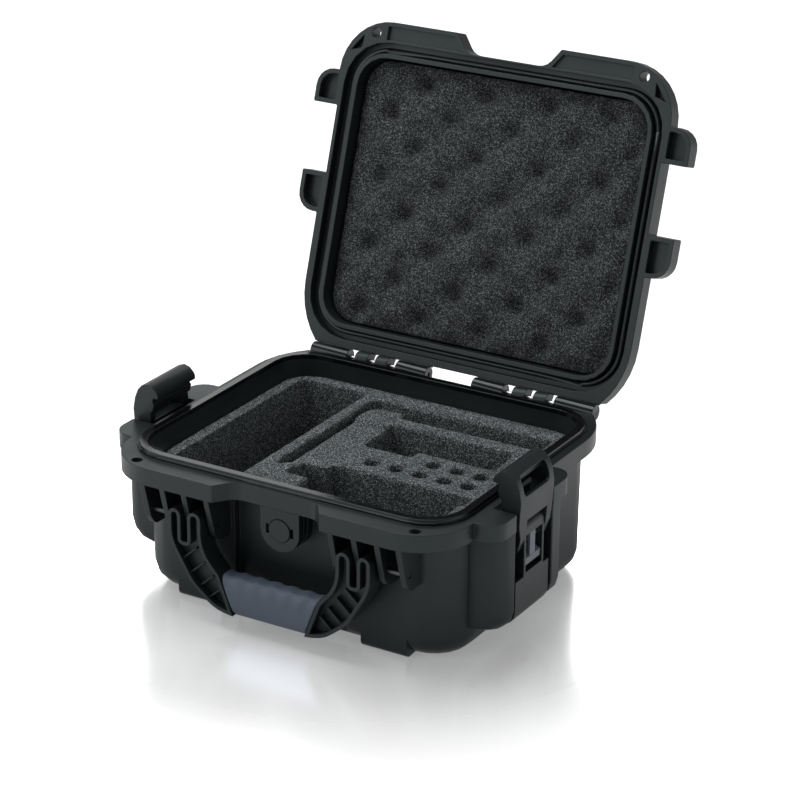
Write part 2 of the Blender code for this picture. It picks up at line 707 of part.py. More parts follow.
def knuckle(start, end, up):
    """A hinge knuckle with its root run into the rim; up is 1 on the base and -1 on the lid."""
    first = KNUCKLE_START * up
    sweep = KNUCKLE_SWEEP * up
    ring = []
    for k in range(KNUCKLE_STEPS + 1):
        angle = first + sweep * k / KNUCKLE_STEPS
        ring.append((HINGE_Y + KNUCKLE_RADIUS * math.cos(angle),
                     HINGE_Z + KNUCKLE_RADIUS * math.sin(angle)))
    root = FLANGE_REAR - KNUCKLE_ROOT
    near = HINGE_Z if up > 0 else PARTING_HEIGHT + HINGE_DROP
    far = BASE_APRON_BOTTOM + APRON_WALL if up > 0 else LID_APRON_TOP - APRON_WALL
    ring += [(HINGE_Y - KNUCKLE_RADIUS, near), (root, near), (root, far)]
    low, high = sorted((start, end))
    return prism("knuckle_block", ring, low, high, "x")


def base_knuckles():
    blocks = []
    for side in (-1, 1):
        blocks.append(knuckle(side * (HINGE_OUTER - OUTER_KNUCKLE), side * HINGE_OUTER, 1))
        blocks.append(knuckle(side * HINGE_INNER, side * (HINGE_INNER + INNER_KNUCKLE), 1))
    return blocks


def lid_knuckles():
    blocks = []
    for side in (-1, 1):
        for centre in LID_KNUCKLE_CENTRES:
            half = LID_KNUCKLE / 2
            blocks.append(knuckle(side * (centre - half), side * (centre + half), -1))
    return blocks


def hinge_covers():
    """Ledges on the lid's rear edge that run close round the knuckles and close the slit over them."""
    reach = KNUCKLE_RADIUS + COVER_GAP
    ring = []
    for k in range(COVER_STEPS + 1):
        angle = COVER_START + COVER_SWEEP * k / COVER_STEPS
        ring.append((HINGE_Y - reach * math.cos(angle), HINGE_Z + reach * math.sin(angle)))
    (_, low), (edge, high) = ring[0], ring[-1]
    root = FLANGE_REAR - COVER_ROOT
    ring += [(edge, high + COVER_WALL), (root, high + COVER_WALL * 2), (root, low)]
    return [prism("hinge_cover", ring, *sorted((side * HINGE_INNER, side * HINGE_OUTER)), "x")
            for side in (-1, 1)]


def hinge_bores():
    """Bores for the hinge pins, open at the inner end and blind at the outer end."""
    radius = HINGE_PIN_RADIUS + RUNNING_GAP
    bores = []
    for side in (-1, 1):
        low, high = sorted((side * (HINGE_INNER - CUT_OVERRUN), side * (HINGE_OUTER - APRON_WALL)))
        bores.append(cylinder("hinge_bore", (HINGE_Y, HINGE_Z), radius, low, high, "x"))
    return bores


def padlock_holes(low, high):
    place_y = -FLANGE_FRONT + PADLOCK_EDGE
    return [cylinder("padlock_cut", (side * PADLOCK_X, place_y), PADLOCK_HOLE_RADIUS, low, high, "z",
                     HOLE_SIDES) for side in (-1, 1)]


def u_outline(radius):
    """The valve's outline in X and Z: straight sides over a round bottom."""
    corners = [(radius, VALVE_TOP, 0), (-radius, VALVE_TOP, 0),
               (-radius, VALVE_CENTRE_Z - radius, radius), (radius, VALVE_CENTRE_Z - radius, radius)]
    return fillet(corners, CORNER_STEPS + EDGE_STEPS)


def make_base(material):
    corners = flange_corners(FLANGE_HALF_WIDTH)
    base = prism("base_shell", fillet(corners), BASE_APRON_BOTTOM, PARTING_HEIGHT, "z", material)
    hollow = fillet(inset(corners, APRON_WALL))
    cut(base, [prism("apron_cut", hollow, BASE_APRON_BOTTOM - CUT_OVERRUN, BASE_ROOF)])

    blocks = [base_body(), base_ridge()] + foot_blocks() + base_knuckles()
    for side in (-1, 1):
        front_edge = GAP_FRONT - PILLAR_SETBACK
        rear_edge = GAP_REAR + PILLAR_SETBACK
        blocks.append(pillar(side, front_edge, GAP_FRONT - PILLAR_FRONT_DEPTH, PILLAR_CORNER))
        blocks.append(pillar(side, rear_edge, GAP_REAR + PILLAR_REAR_DEPTH, EDGE_RADIUS))
        blocks += [handle_fin(side * centre) for centre in FIN_CENTRES]
    join(base, blocks)

    tools = [base_cavity()] + hinge_bores() + padlock_holes(BASE_APRON_BOTTOM, PARTING_HEIGHT + CUT_OVERRUN)
    recess_wall = -BODY_FRONT + HANDLE_RECESS_DEPTH
    tools.append(box("recess_cut", (-HANDLE_RECESS_HALF, -BODY_FRONT - CUT_OVERRUN, -CUT_OVERRUN),
                     (HANDLE_RECESS_HALF, recess_wall, HANDLE_RECESS_TOP)))
    for side in (-1, 1):
        radius = PIN_RADIUS + RUNNING_GAP
        seat = LEVER_PIN_SEAT + FIT_GAP
        tools.append(cylinder("lever_bore", (side * LEVER_PIN_X, LEVER_PIN_Z), radius, GAP_FRONT - seat,
                              GAP_REAR + seat, "y"))
        low, high = sorted((side * (FIN_CENTRES[0] - CUT_OVERRUN), side * (FIN_CENTRES[-1] + CUT_OVERRUN)))
        tools.append(cylinder("handle_bore", (-HANDLE_PIN_Y, HANDLE_PIN_Z), radius, low, high, "x"))
    cut(base, tools)

    join(base, [prism("valve_boss", u_outline(VALVE_RADIUS), VALVE_BOSS_FRONT,
                      recess_wall + JOIN_DEPTH, "y")])
    return base


def make_valve(materials):
    """The pressure valve: a stepped body, a cover plate and a turning knob, one in front of another."""
    cover_front = -VALVE_COVER_FRONT
    cover_back = cover_front + VALVE_COVER_THICKNESS
    body = prism("valve_body", u_outline(VALVE_RADIUS - VALVE_STEP), cover_back + FIT_GAP,
                 VALVE_BOSS_FRONT - FIT_GAP, "y", materials["shell"])
    middle = (cover_back + VALVE_BOSS_FRONT) / 2
    join(body, [prism("valve_plate", u_outline(VALVE_RADIUS - VALVE_PLATE_STEP),
                      middle - VALVE_PLATE_THICKNESS / 2, middle + VALVE_PLATE_THICKNESS / 2, "y")])

    cover = prism("valve_cover", u_outline(VALVE_RADIUS), cover_front, cover_back, "y", materials["shell"])
    centre = (0, VALVE_CENTRE_Z)
    seat = cover_front + KNOB_DEPTH
    tools = [cylinder("knob_cut", centre, KNOB_RADIUS + FIT_GAP, cover_front - CUT_OVERRUN, seat, "y",
                      HOLE_SIDES + PIN_SIDES)]
    for side in (-1, 1):
        half, rise = KNOB_SLOT_WIDTH / 2, KNOB_SLOT_HEIGHT / 2
        left, right = sorted((side * (KNOB_SLOT_X - half), side * (KNOB_SLOT_X + half)))
        tools.append(box("slot_cut", (left, cover_front - CUT_OVERRUN, VALVE_CENTRE_Z - rise),
                         (right, seat - FIT_GAP, VALVE_CENTRE_Z + rise)))
    cut(cover, tools)
    cylinder("valve_knob", centre, KNOB_RADIUS, cover_front - KNOB_PROUD, seat - FIT_GAP, "y",
             HOLE_SIDES + PIN_SIDES, materials["shell"])


def foam_point(shares):
    """A place on the foam insert from its shares of width and depth."""
    width = 2 * (BODY_HALF_WIDTH - SIDE_WALL)
    depth = BODY_REAR - REAR_WALL + BODY_FRONT - FRONT_WALL
    return shares[0] * width, shares[1] * depth - BODY_FRONT + FRONT_WALL


def foam_pocket(shares, bottom, radius):
    """A pocket cutter: a rounded rectangle given by its shares, open at the top."""
    left, right, front, rear = shares
    low = foam_point((left, front))
    high = foam_point((right, rear))
    corners = [(low[0], low[1], radius), (high[0], low[1], radius),
               (high[0], high[1], radius), (low[0], high[1], radius)]
    return prism("foam_cut", fillet(corners, EDGE_STEPS), bottom, FOAM_TOP + CUT_OVERRUN)


def make_foam(material):
    """A plain pad on the floor and the insert above it, with its pockets and holes."""
    def ring(height, shrink=0.0):
        return cavity_ring(height, shrink + FIT_GAP)

    layers = rounded_rings(ring, FLOOR_TOP + FIT_GAP, CAVITY_FLOOR_RADIUS, PAD_TOP)
    pad = loft("base_foam_pad", layers, material)
    insert = loft("base_foam_insert", [ring(PAD_TOP + FIT_GAP), ring(FOAM_TOP)], material)
    deep = FOAM_TOP - FOAM_DEEP
    shallow = FOAM_TOP - FOAM_SHALLOW
    trench = [(*foam_point(shares), FOAM_CORNER * size) for *shares, size in TRENCH_SHARES]
    tools = [
        foam_pocket(LEFT_POCKET_SHARES, PAD_TOP - CUT_OVERRUN, FOAM_CORNER),
        prism("trench_cut", fillet(trench), shallow, FOAM_TOP + CUT_OVERRUN),
        foam_pocket(PLATFORM_SHARES, FOAM_TOP - FOAM_STEP, FOAM_CORNER),
        foam_pocket(MID_LEFT_SHARES, deep, FOAM_CORNER),
        foam_pocket(MID_RIGHT_SHARES, deep + FOAM_STEP, FOAM_CORNER),
        foam_pocket(FRONT_POCKET_SHARES, deep, FOAM_CORNER),
        foam_pocket(FRONT_NOTCH_SHARES, shallow, FOAM_CORNER),
    ]
    holes = [(share, FRONT_HOLE_DEPTH_SHARE) for share in FRONT_HOLE_SHARES]
    holes += [(share, REAR_HOLE_DEPTH_SHARE) for share in REAR_HOLE_SHARES]
    for shares in holes:
        tools.append(cylinder("hole_cut", foam_point(shares), FOAM_HOLE_RADIUS, shallow,
                              FOAM_TOP + CUT_OVERRUN, "z", HOLE_SIDES))
    cut(insert, tools)
    return pad, insert


def lid_ring(height, shrink=0.0):
    """Outside of the closed lid above its rim."""
    inward = (height - LID_APRON_TOP) * math.tan(LID_DRAFT) + shrink
    return lay(opening_outline(LID_OUTER_GROW - inward), "z", height)


def lid_cavity_ring(height, shrink=0.0):
    """Inside of the closed lid behind its lip."""
    inward = (height - PARTING_HEIGHT) * math.tan(LID_INNER_DRAFT) + shrink
    return lay(opening_outline(-GROOVE_SLACK - LIP_WIDTH - inward), "z", height)


def capped_rings(ring, start, radius, end):
    """Rings from a start height up to a rounded top edge."""
    rings = [ring(start)]
    for k in range(EDGE_STEPS + 1):
        angle = math.pi / 2 * k / EDGE_STEPS
        rings.append(ring(end - radius * (1 - math.sin(angle)), radius * (1 - math.cos(angle))))
    return rings


def band(name, profile, material=None):
    """A closed band round the opening; the profile lists how far out and how high each ring lies."""
    rings = [lay(opening_outline(grow), "z", height) for grow, height in profile]
    return loft(name, rings, material, closed=True)


def lug_pockets():
    """Moulding pockets in the lid lugs' mating faces."""
    wall = LUG_POCKET_WALL
    pockets = []
    for side in (-1, 1):
        for gap_edge, far_edge, toward in ((GAP_FRONT, GAP_FRONT - LUG_FRONT_LENGTH, -1),
                                           (GAP_REAR, GAP_REAR + LUG_REAR_LENGTH, 1)):
            near = gap_edge + toward * wall
            far = far_edge - toward * wall
            corners = [(side * FLANGE_HALF_WIDTH, near, EDGE_RADIUS),
                       (side * (LUG_REACH - wall), near, EDGE_RADIUS),
                       (side * (LUG_REACH - wall), far, LUG_RADIUS - wall),
                       (side * FLANGE_HALF_WIDTH, far, EDGE_RADIUS)]
            pockets.append(prism("lug_pocket_cut", fillet(corners, EDGE_STEPS),
                                 PARTING_HEIGHT - CUT_OVERRUN, PARTING_HEIGHT + LUG_POCKET_DEPTH))
    return pockets


def tab_panels():
    """Shallow panels in the two front tabs and a small pocket beyond each padlock hole."""
    wall = TAB_PANEL_WALL
    slope = (NOTCH_MOUTH_HALF - NOTCH_FLOOR_HALF) / NOTCH_DEPTH
    side_wall = wall * math.hypot(1, slope)
    front = -FLANGE_FRONT + wall
    rear = -RIM_OPENING_FRONT - RIDGE_WIDTH - GROOVE_SLACK - wall / 2
    near = NOTCH_MOUTH_HALF - wall * slope + side_wall
    far = PADLOCK_X - TAB_PANEL_GAP
    centre = Vector((FLANGE_HALF_WIDTH - FLANGE_FRONT_RADIUS, -FLANGE_FRONT + FLANGE_FRONT_RADIUS))
    pockets = []
    low, high = PARTING_HEIGHT - CUT_OVERRUN, PARTING_HEIGHT + TAB_PANEL_DEPTH
    for side in (-1, 1):
        corners = [(near, front), (far, front), (far, rear),
                   (near - (rear - front) * slope, rear)]
        pockets.append(prism("tab_cut", [(side * x, y) for x, y in corners], low, high))
        outline = []
        for reach, angle in zip(CORNER_POCKET_REACHES, CORNER_POCKET_ANGLES):
            arm = Vector((math.cos(angle), math.sin(angle))) * (FLANGE_FRONT_RADIUS - reach)
            outline.append((side * (centre.x + arm.x), centre.y + arm.y))
        pockets.append(prism("corner_cut", outline, low, high + TAB_PANEL_DEPTH))
    return pockets


def make_lid(material):
    """The lid shell, drawn closed."""
    gap_half = FLANGE_HALF_WIDTH - LID_RELIEF
    lid = prism("lid_shell", fillet(flange_corners(gap_half)), PARTING_HEIGHT + FIT_GAP, LID_APRON_TOP, "z",
                material)
    blocks = [loft("lid_block", capped_rings(lid_ring, LID_APRON_TOP - JOIN_DEPTH, LID_EDGE_RADIUS,
                                             CLOSED_HEIGHT))] + lid_knuckles() + hinge_covers()
    for side in (-1, 1):
        left, right = sorted((side * (RIM_OPENING_HALF - JOIN_DEPTH * 2), side * (gap_half - FIT_GAP)))
        blocks.append(box("catch_block", (left, GAP_FRONT - CATCH_OVERLAP, LID_APRON_TOP - JOIN_DEPTH),
                          (right, GAP_REAR + CATCH_OVERLAP, CATCH_TOP)))
    join(lid, blocks)
    low = PARTING_HEIGHT - CUT_OVERRUN
    floor = PARTING_HEIGHT + GROOVE_DEPTH
    outer, inner = RIDGE_WIDTH + GROOVE_SLACK, -GROOVE_SLACK
    tools = [loft("lid_cavity_cut", capped_rings(lid_cavity_ring, low, LID_CEILING_RADIUS, LID_CEILING)),
             band("groove_cut", [(outer, low), (outer, floor), (inner, floor), (inner, low)])]
    tools += hinge_bores() + padlock_holes(low, LID_APRON_TOP + CUT_OVERRUN) + lug_pockets() + tab_panels()
    cut(lid, tools)
    return lid


def make_gasket(material):
    """A soft cord of seal seated on the floor of the lid's groove."""
    floor = PARTING_HEIGHT + GROOVE_DEPTH - FIT_GAP
    crown = PARTING_HEIGHT + RIDGE_HEIGHT + FIT_GAP
    inner = -GROOVE_SLACK + FIT_GAP
    outer = inner + GASKET_WIDTH
    shoulder = crown + GASKET_CROWN
    profile = [(inner, floor), (inner, shoulder), (inner + GASKET_CROWN, crown),
               (outer - GASKET_CROWN, crown), (outer, shoulder), (outer, floor)]
    return band("lid_gasket", profile, material)


def rounding_share(u, v, half_x, half_y, radius):
    """Where a ray from the centre leaves a rounded rectangle, as a share of its way to the square edge."""
    x, y = abs(u) * half_x, abs(v) * half_y
    inner_x, inner_y = half_x - radius, half_y - radius
    if x * half_y >= y * half_x:
        scale = half_x / max(x, CURVE_TOLERANCE)
    else:
        scale = half_y / max(y, CURVE_TOLERANCE)
    if x * scale <= inner_x or y * scale <= inner_y:
        return 1.0
    a = x * x + y * y
    b = x * inner_x + y * inner_y
    c = inner_x * inner_x + inner_y * inner_y - radius * radius
    return (b + math.sqrt(max(b * b - a * c, 0))) / a / scale


def make_lid_foam(material):
    """Convoluted foam: rows of crowns and hollows in front, a flat back on the lid's ceiling."""
    back = LID_CEILING - FIT_GAP
    clear = lid_cavity_ring(LID_CEILING, FIT_GAP)
    half_x = max(point[0] for point in clear)
    front, rear = min(point[1] for point in clear), max(point[1] for point in clear)
    half_y, middle = (rear - front) / 2, (rear + front) / 2
    radius = RIDGE_RADIUS - RIDGE_WIDTH - (RIM_OPENING_HALF - half_x)
    crown = PARTING_HEIGHT + LID_FOAM_REACH

    def place(column, row):
        u = 2 * column / LID_FOAM_COLUMNS - 1
        v = 2 * row / LID_FOAM_ROWS - 1
        edge = max(abs(u), abs(v))
        share = 1 - (1 - rounding_share(u, v, half_x, half_y, radius)) * edge ** 4
        return u * half_x * share, v * half_y * share + middle, edge

    def surface(column, row):
        x, y, edge = place(column, row)
        wave = math.cos(math.tau * (x / LID_FOAM_PITCH_X - LID_FOAM_PHASE_X_SHARE)) * \
            math.cos(math.tau * (y / LID_FOAM_PITCH_Y - LID_FOAM_PHASE_Y_SHARE))
        return x, y, crown + LID_FOAM_WAVE * (1 + wave) / 2 + LID_FOAM_EDGE_DROP * edge ** 8

    verts = [surface(c, r) for r in range(LID_FOAM_ROWS + 1) for c in range(LID_FOAM_COLUMNS + 1)]
    span = LID_FOAM_COLUMNS + 1
    faces = [(r * span + c, r * span + c + 1, (r + 1) * span + c + 1, (r + 1) * span + c)
             for r in range(LID_FOAM_ROWS) for c in range(LID_FOAM_COLUMNS)]
    rim = [(c, 0) for c in range(LID_FOAM_COLUMNS)]
    rim += [(LID_FOAM_COLUMNS, r) for r in range(LID_FOAM_ROWS)]
    rim += [(c, LID_FOAM_ROWS) for c in range(LID_FOAM_COLUMNS, 0, -1)]
    rim += [(0, r) for r in range(LID_FOAM_ROWS, 0, -1)]
    loop = [r * span + c for c, r in rim]
    for height, shrink in ((back - LID_CEILING_RADIUS, 0), (back, LID_CEILING_RADIUS)):
        start = len(verts)
        for c, r in rim:
            x, y, edge = place(c, r)
            verts.append((x * (1 - shrink / half_x), (y - middle) * (1 - shrink / half_y) + middle, height))
        upper = list(range(start, start + len(rim)))
        for i in range(len(rim)):
            j = (i + 1) % len(rim)
            faces.append((loop[i], loop[j], upper[j], upper[i]))
        loop = upper
    faces.append(tuple(loop))
    return add_object("lid_foam", mesh_from("lid_foam", verts, faces), material)


def make_hinge_pins(material):
    for side, word in SIDES:
        low, high = sorted((side * (HINGE_INNER + EDGE_RADIUS), side * (HINGE_OUTER - APRON_WALL - FIT_GAP)))
        cylinder(f"hinge_pin_{word}", (HINGE_Y, HINGE_Z), HINGE_PIN_RADIUS, low, high, "x", PIN_SIDES,
                 material)


def make_handle_pins(material):
    for side, word in SIDES:
        start = FIN_CENTRES[0] - FIN_WIDTH / 2 + EDGE_RADIUS
        low, high = sorted((side * start, side * HANDLE_PIN_END))
        cylinder(f"handle_pin_{word}", (-HANDLE_PIN_Y, HANDLE_PIN_Z), PIN_RADIUS, low, high, "x", PIN_SIDES,
                 material)


def grip_half(height):
    """Half the grip's length at a height; its ends lean outward."""
    share = (height - GRIP_BOTTOM) / (GRIP_TOP - GRIP_BOTTOM)
    return GRIP_BOTTOM_HALF + (GRIP_TOP_HALF - GRIP_BOTTOM_HALF) * share


def arm_height(share):
    """A height on the arm, from the grip's underside to the top of the arches."""
    return GRIP_BOTTOM + (HANDLE_TOP - GRIP_BOTTOM) * share


def arm_corners():
    """Outline of the handle's right arm: a tapering channel that ends in two arches and a loop."""
    slope = (GRIP_TOP_HALF - GRIP_BOTTOM_HALF) / (GRIP_TOP - GRIP_BOTTOM)
    gap = ARM_PLAY * math.hypot(1, slope)
    low = GRIP_BOTTOM + FIT_GAP
    high = GRIP_TOP - FIT_GAP
    loop_outer = OUTER_LEG_X - OUTER_ARCH_WIDTH
    loop_inner = loop_outer - LOOP_WIDTH
    inner = INNER_LEG_X
    corners = [(grip_half(low) + gap, low, 0)]
    corners += [(OUTER_LEG_X * x, arm_height(z), ARM_BEND_RADIUS) for x, z in ARM_OUTER_SHARES]
    corners += [
        (OUTER_LEG_X, HANDLE_TOP, OUTER_ARCH_WIDTH / 2), (loop_outer, HANDLE_TOP, OUTER_ARCH_WIDTH / 2),
        (loop_outer, LOOP_BOTTOM, LOOP_RADIUS), (loop_inner, LOOP_BOTTOM, LOOP_RADIUS),
        (loop_inner, HANDLE_TOP, INNER_ARCH_WIDTH / 2), (inner, HANDLE_TOP, INNER_ARCH_WIDTH / 2),
        (inner, arm_height(ARM_INNER_SHARE), ARM_BEND_RADIUS),
        (grip_half(high) + gap, high, 0),
    ]
    return corners


def core_outline(grow, beyond):
    """The bar through the grip, in X and Z."""
    low = HANDLE_CORE_LOW - grow
    high = HANDLE_CORE_HIGH + grow
    return [(grip_half(low) + beyond, low), (grip_half(high) + beyond, high),
            (-grip_half(high) - beyond, high), (-grip_half(low) - beyond, low)]


def cross_ribs(side, front, web_front):
    """Stiffening ribs across the arm's channel."""
    ribs = []
    start, end = [Vector((OUTER_LEG_X * x, arm_height(z))) for x, z in ARM_RIB_LINE_SHARES]
    along = (end - start).normalized()
    across = Vector((-along.y, along.x))
    for share in ARM_RIB_SHARES:
        centre = start.lerp(end, share)
        width = ARM_RIB_LENGTH / 2 * (1 - share * ARM_RIB_TAPER_SHARE)
        corners = [centre + along * a * CROSS_RIB / 2 + across * b * width
                   for a, b in ((-1, -1), (1, -1), (1, 1), (-1, 1))]
        ribs.append(prism("rib_block", [(side * c.x, c.y) for c in corners],
                          front + HANDLE_RIB, web_front + HANDLE_WEB / 2, "y"))
    return ribs


def make_handle(material):
    """Both arms and the bar between them, as one moulding."""
    front = -HANDLE_FRONT
    back = front + HANDLE_THICKNESS
    web_front = front + HANDLE_CHANNEL
    web_back = web_front + HANDLE_WEB
    corners = arm_corners()
    outline = fillet(corners)
    channel = fillet(inset(corners, HANDLE_RIB))
    frame = prism("handle_frame", core_outline(0, HANDLE_RIB / 2), front + CORE_INSET, back - EDGE_RADIUS,
                  "y", material)
    arms = [[(side * x, z) for x, z in outline] for side in (-1, 1)]
    join(frame, [prism("arm_block", arm, front, back, "y") for arm in arms])
    tools = []
    for side in (-1, 1):
        shape = [(side * x, z) for x, z in channel]
        tools.append(prism("channel_cut", shape, front - CUT_OVERRUN, web_front, "y"))
        tools.append(prism("back_cut", shape, web_back, back + CUT_OVERRUN, "y"))
        low, high = sorted((side * FIN_CENTRES[0], side * FIN_CENTRES[2]))
        tools.append(cylinder("pin_cut", (-HANDLE_PIN_Y, HANDLE_PIN_Z), PIN_RADIUS + RUNNING_GAP, low, high,
                              "x"))
    cut(frame, tools)
    join(frame, cross_ribs(-1, front, web_front) + cross_ribs(1, front, web_front))
    return frame


def make_grip(material):
    """The soft grip, its ends leaning outward and its sides softly scalloped."""
    half_depth = GRIP_THICKNESS / 2
    middle_y = -HANDLE_FRONT + half_depth
    middle_z = (GRIP_TOP + GRIP_BOTTOM) / 2
    half_height = (GRIP_TOP - GRIP_BOTTOM) / 2
    stations = GRIP_SCALLOPS * GRIP_SCALLOP_STEPS
    rings = []
    for k in range(stations + 1):
        u = 2 * k / stations - 1
        draw = GRIP_SCALLOP * (1 - math.cos(math.tau * GRIP_SCALLOPS * k / stations)) / 2
        a, b = half_depth - draw, half_height - draw
        corners = [(y, z, GRIP_ROUNDING) for y, z in ((a, -b), (a, b), (-a, b), (-a, -b))]
        section = fillet(corners, EDGE_STEPS)
        rings.append([(u * grip_half(middle_z + z), middle_y + y, middle_z + z) for y, z in section])
    grip = loft("handle_grip", rings, material)
    core_front = -HANDLE_FRONT + CORE_INSET - FIT_GAP
    core_back = -HANDLE_FRONT + HANDLE_THICKNESS - EDGE_RADIUS + FIT_GAP
    cut(grip, [prism("core_cut", core_outline(FIT_GAP, CUT_OVERRUN), core_front, core_back, "y")])
    return grip


def lever_profile():
    """The lever's stem in X and Z: a barrel round the lever pin over a straight shank."""
    back_turn = math.acos((LEVER_STEM_BACK - LEVER_PIN_X) / LEVER_BARREL_RADIUS)
    outline = []
    for k in range(HOLE_SIDES // 2 + 1):
        angle = back_turn * k / (HOLE_SIDES // 2)
        outline.append((LEVER_PIN_X + LEVER_BARREL_RADIUS * math.cos(angle),
                        LEVER_PIN_Z + LEVER_BARREL_RADIUS * math.sin(angle)))
    low = LEVER_SHOULDER - JOIN_DEPTH
    outline += [(LEVER_STEM_BACK, low), (LEVER_PIN_X + LEVER_BARREL_RADIUS, low)]
    return outline


def make_lever(side, word, material):
    stem_low = STEM_CENTRE - LEVER_STEM_WIDTH / 2
    stem_high = STEM_CENTRE + LEVER_STEM_WIDTH / 2
    outline = [(side * x, z) for x, z in lever_profile()]
    lever = prism(f"lever_{word}", outline, stem_low, stem_high, "y", material)
    inner = LEVER_FRONT - LEVER_PAD_THICKNESS
    corners = [(LEVER_FRONT, LEVER_SHOULDER, EDGE_RADIUS), (inner, LEVER_SHOULDER, 0),
               (inner, LEVER_PAD_BOTTOM + LEVER_TOE_RADIUS, LEVER_PAD_THICKNESS),
               (LEVER_TOE_BACK, LEVER_PAD_BOTTOM + LEVER_TOE_LIP, EDGE_RADIUS),
               (LEVER_TOE_BACK, LEVER_PAD_BOTTOM, EDGE_RADIUS),
               (LEVER_FRONT, LEVER_PAD_BOTTOM, LEVER_TOE_RADIUS)]
    outline = [(side * x, z) for x, z in fillet(corners)]
    join(lever, [prism("pad_block", outline, CLAW_GAP_CENTRE - CLAW_WIDTH / 2,
                       CLAW_GAP_CENTRE + CLAW_WIDTH / 2, "y")])
    window_low, window_high = stem_low + LEVER_STILE, stem_high - LEVER_STILE
    left, right = sorted((side * (LEVER_STEM_BACK - CUT_OVERRUN), side * (LEVER_FRONT + CUT_OVERRUN)))
    tools = [box("window_cut", (left, window_low, LEVER_WINDOW_BOTTOM),
                 (right, window_high, LEVER_WINDOW_TOP))]
    reach = SLIDE_TONGUE + FIT_GAP
    left, right = sorted((side * (tongue_x() - SLIDE_TONGUE_THICKNESS / 2 - FIT_GAP),
                          side * (tongue_x() + SLIDE_TONGUE_THICKNESS / 2 + FIT_GAP)))
    tools.append(box("groove_cut", (left, window_low - reach, LEVER_WINDOW_BOTTOM + EDGE_RADIUS / 2),
                     (right, window_high + reach, slide_bottom() + SLIDE_FOOT_HEIGHT)))
    low, high = stem_low - CUT_OVERRUN, stem_high + CUT_OVERRUN
    for x, z in ((LEVER_PIN_X, LEVER_PIN_Z), (CLAW_PIN_X, CLAW_PIN_Z)):
        tools.append(cylinder("pin_cut", (side * x, z), PIN_RADIUS + RUNNING_GAP, low, high, "y"))
    cut(lever, tools)
    return lever


def slide_bottom():
    return LEVER_WINDOW_BOTTOM + SLIDE_TRAVEL + SLIDE_GAP


def tongue_x():
    """Middle of the tongue and groove that guide the lock slide."""
    return (LEVER_FRONT + LEVER_STEM_BACK) / 2


def make_lock_slide(side, word, material):
    """A wedge-shaped foot and a flat post that slide down in the lever's window."""
    front = LEVER_FRONT - SLIDE_FRONT_SETBACK
    back = LEVER_FRONT - SLIDE_BACK_SETBACK
    bottom = slide_bottom()
    top = bottom + SLIDE_FOOT_HEIGHT
    half = LEVER_STEM_WIDTH / 2 - LEVER_STILE - SLIDE_GAP
    profile = [(front, bottom), (front, top - SLIDE_FOOT_SLOPE), (back, top), (back, bottom)]
    slide = prism(f"lock_slide_{word}", [(side * x, z) for x, z in profile], STEM_CENTRE - half,
                  STEM_CENTRE + half, "y", material)
    post_front = LEVER_FRONT - SLIDE_POST_SETBACK
    left, right = sorted((side * post_front, side * (post_front - SLIDE_POST_THICKNESS)))
    post = box("post_block", (left, STEM_CENTRE - SLIDE_POST_WIDTH / 2, bottom + JOIN_DEPTH),
               (right, STEM_CENTRE + SLIDE_POST_WIDTH / 2, LEVER_WINDOW_TOP - SLIDE_GAP))
    left, right = sorted((side * (tongue_x() - SLIDE_TONGUE_THICKNESS / 2),
                          side * (tongue_x() + SLIDE_TONGUE_THICKNESS / 2)))
    reach = half + SLIDE_GAP + SLIDE_TONGUE
    tongue = box("tongue_block", (left, STEM_CENTRE - reach, bottom + EDGE_RADIUS),
                 (right, STEM_CENTRE + reach, top - SLIDE_FOOT_SLOPE))
    join(slide, [post, tongue])
    return slide


def neck_profile():
    """A claw arm below its web, in X and Z: a slim neck in front of the lever pin, ending in an eye."""
    face = CLAW_FACE - FIT_GAP / 2
    inner = CLAW_FACE - CLAW_NECK_THICKNESS
    top = CLAW_CROTCH + JOIN_DEPTH
    first = CLAW_EYE_START
    last = math.acos(inner / CLAW_EYE_RADIUS) - math.tau
    outline = [(inner, top), (face, top), (face, CLAW_NECK_START)]
    for k in range(PIN_SIDES + 1):
        angle = first + (last - first) * k / PIN_SIDES
        outline.append((CLAW_EYE_RADIUS * math.cos(angle), CLAW_EYE_RADIUS * math.sin(angle)))
    return [(CLAW_PIN_X + x, CLAW_PIN_Z + z) for x, z in outline]


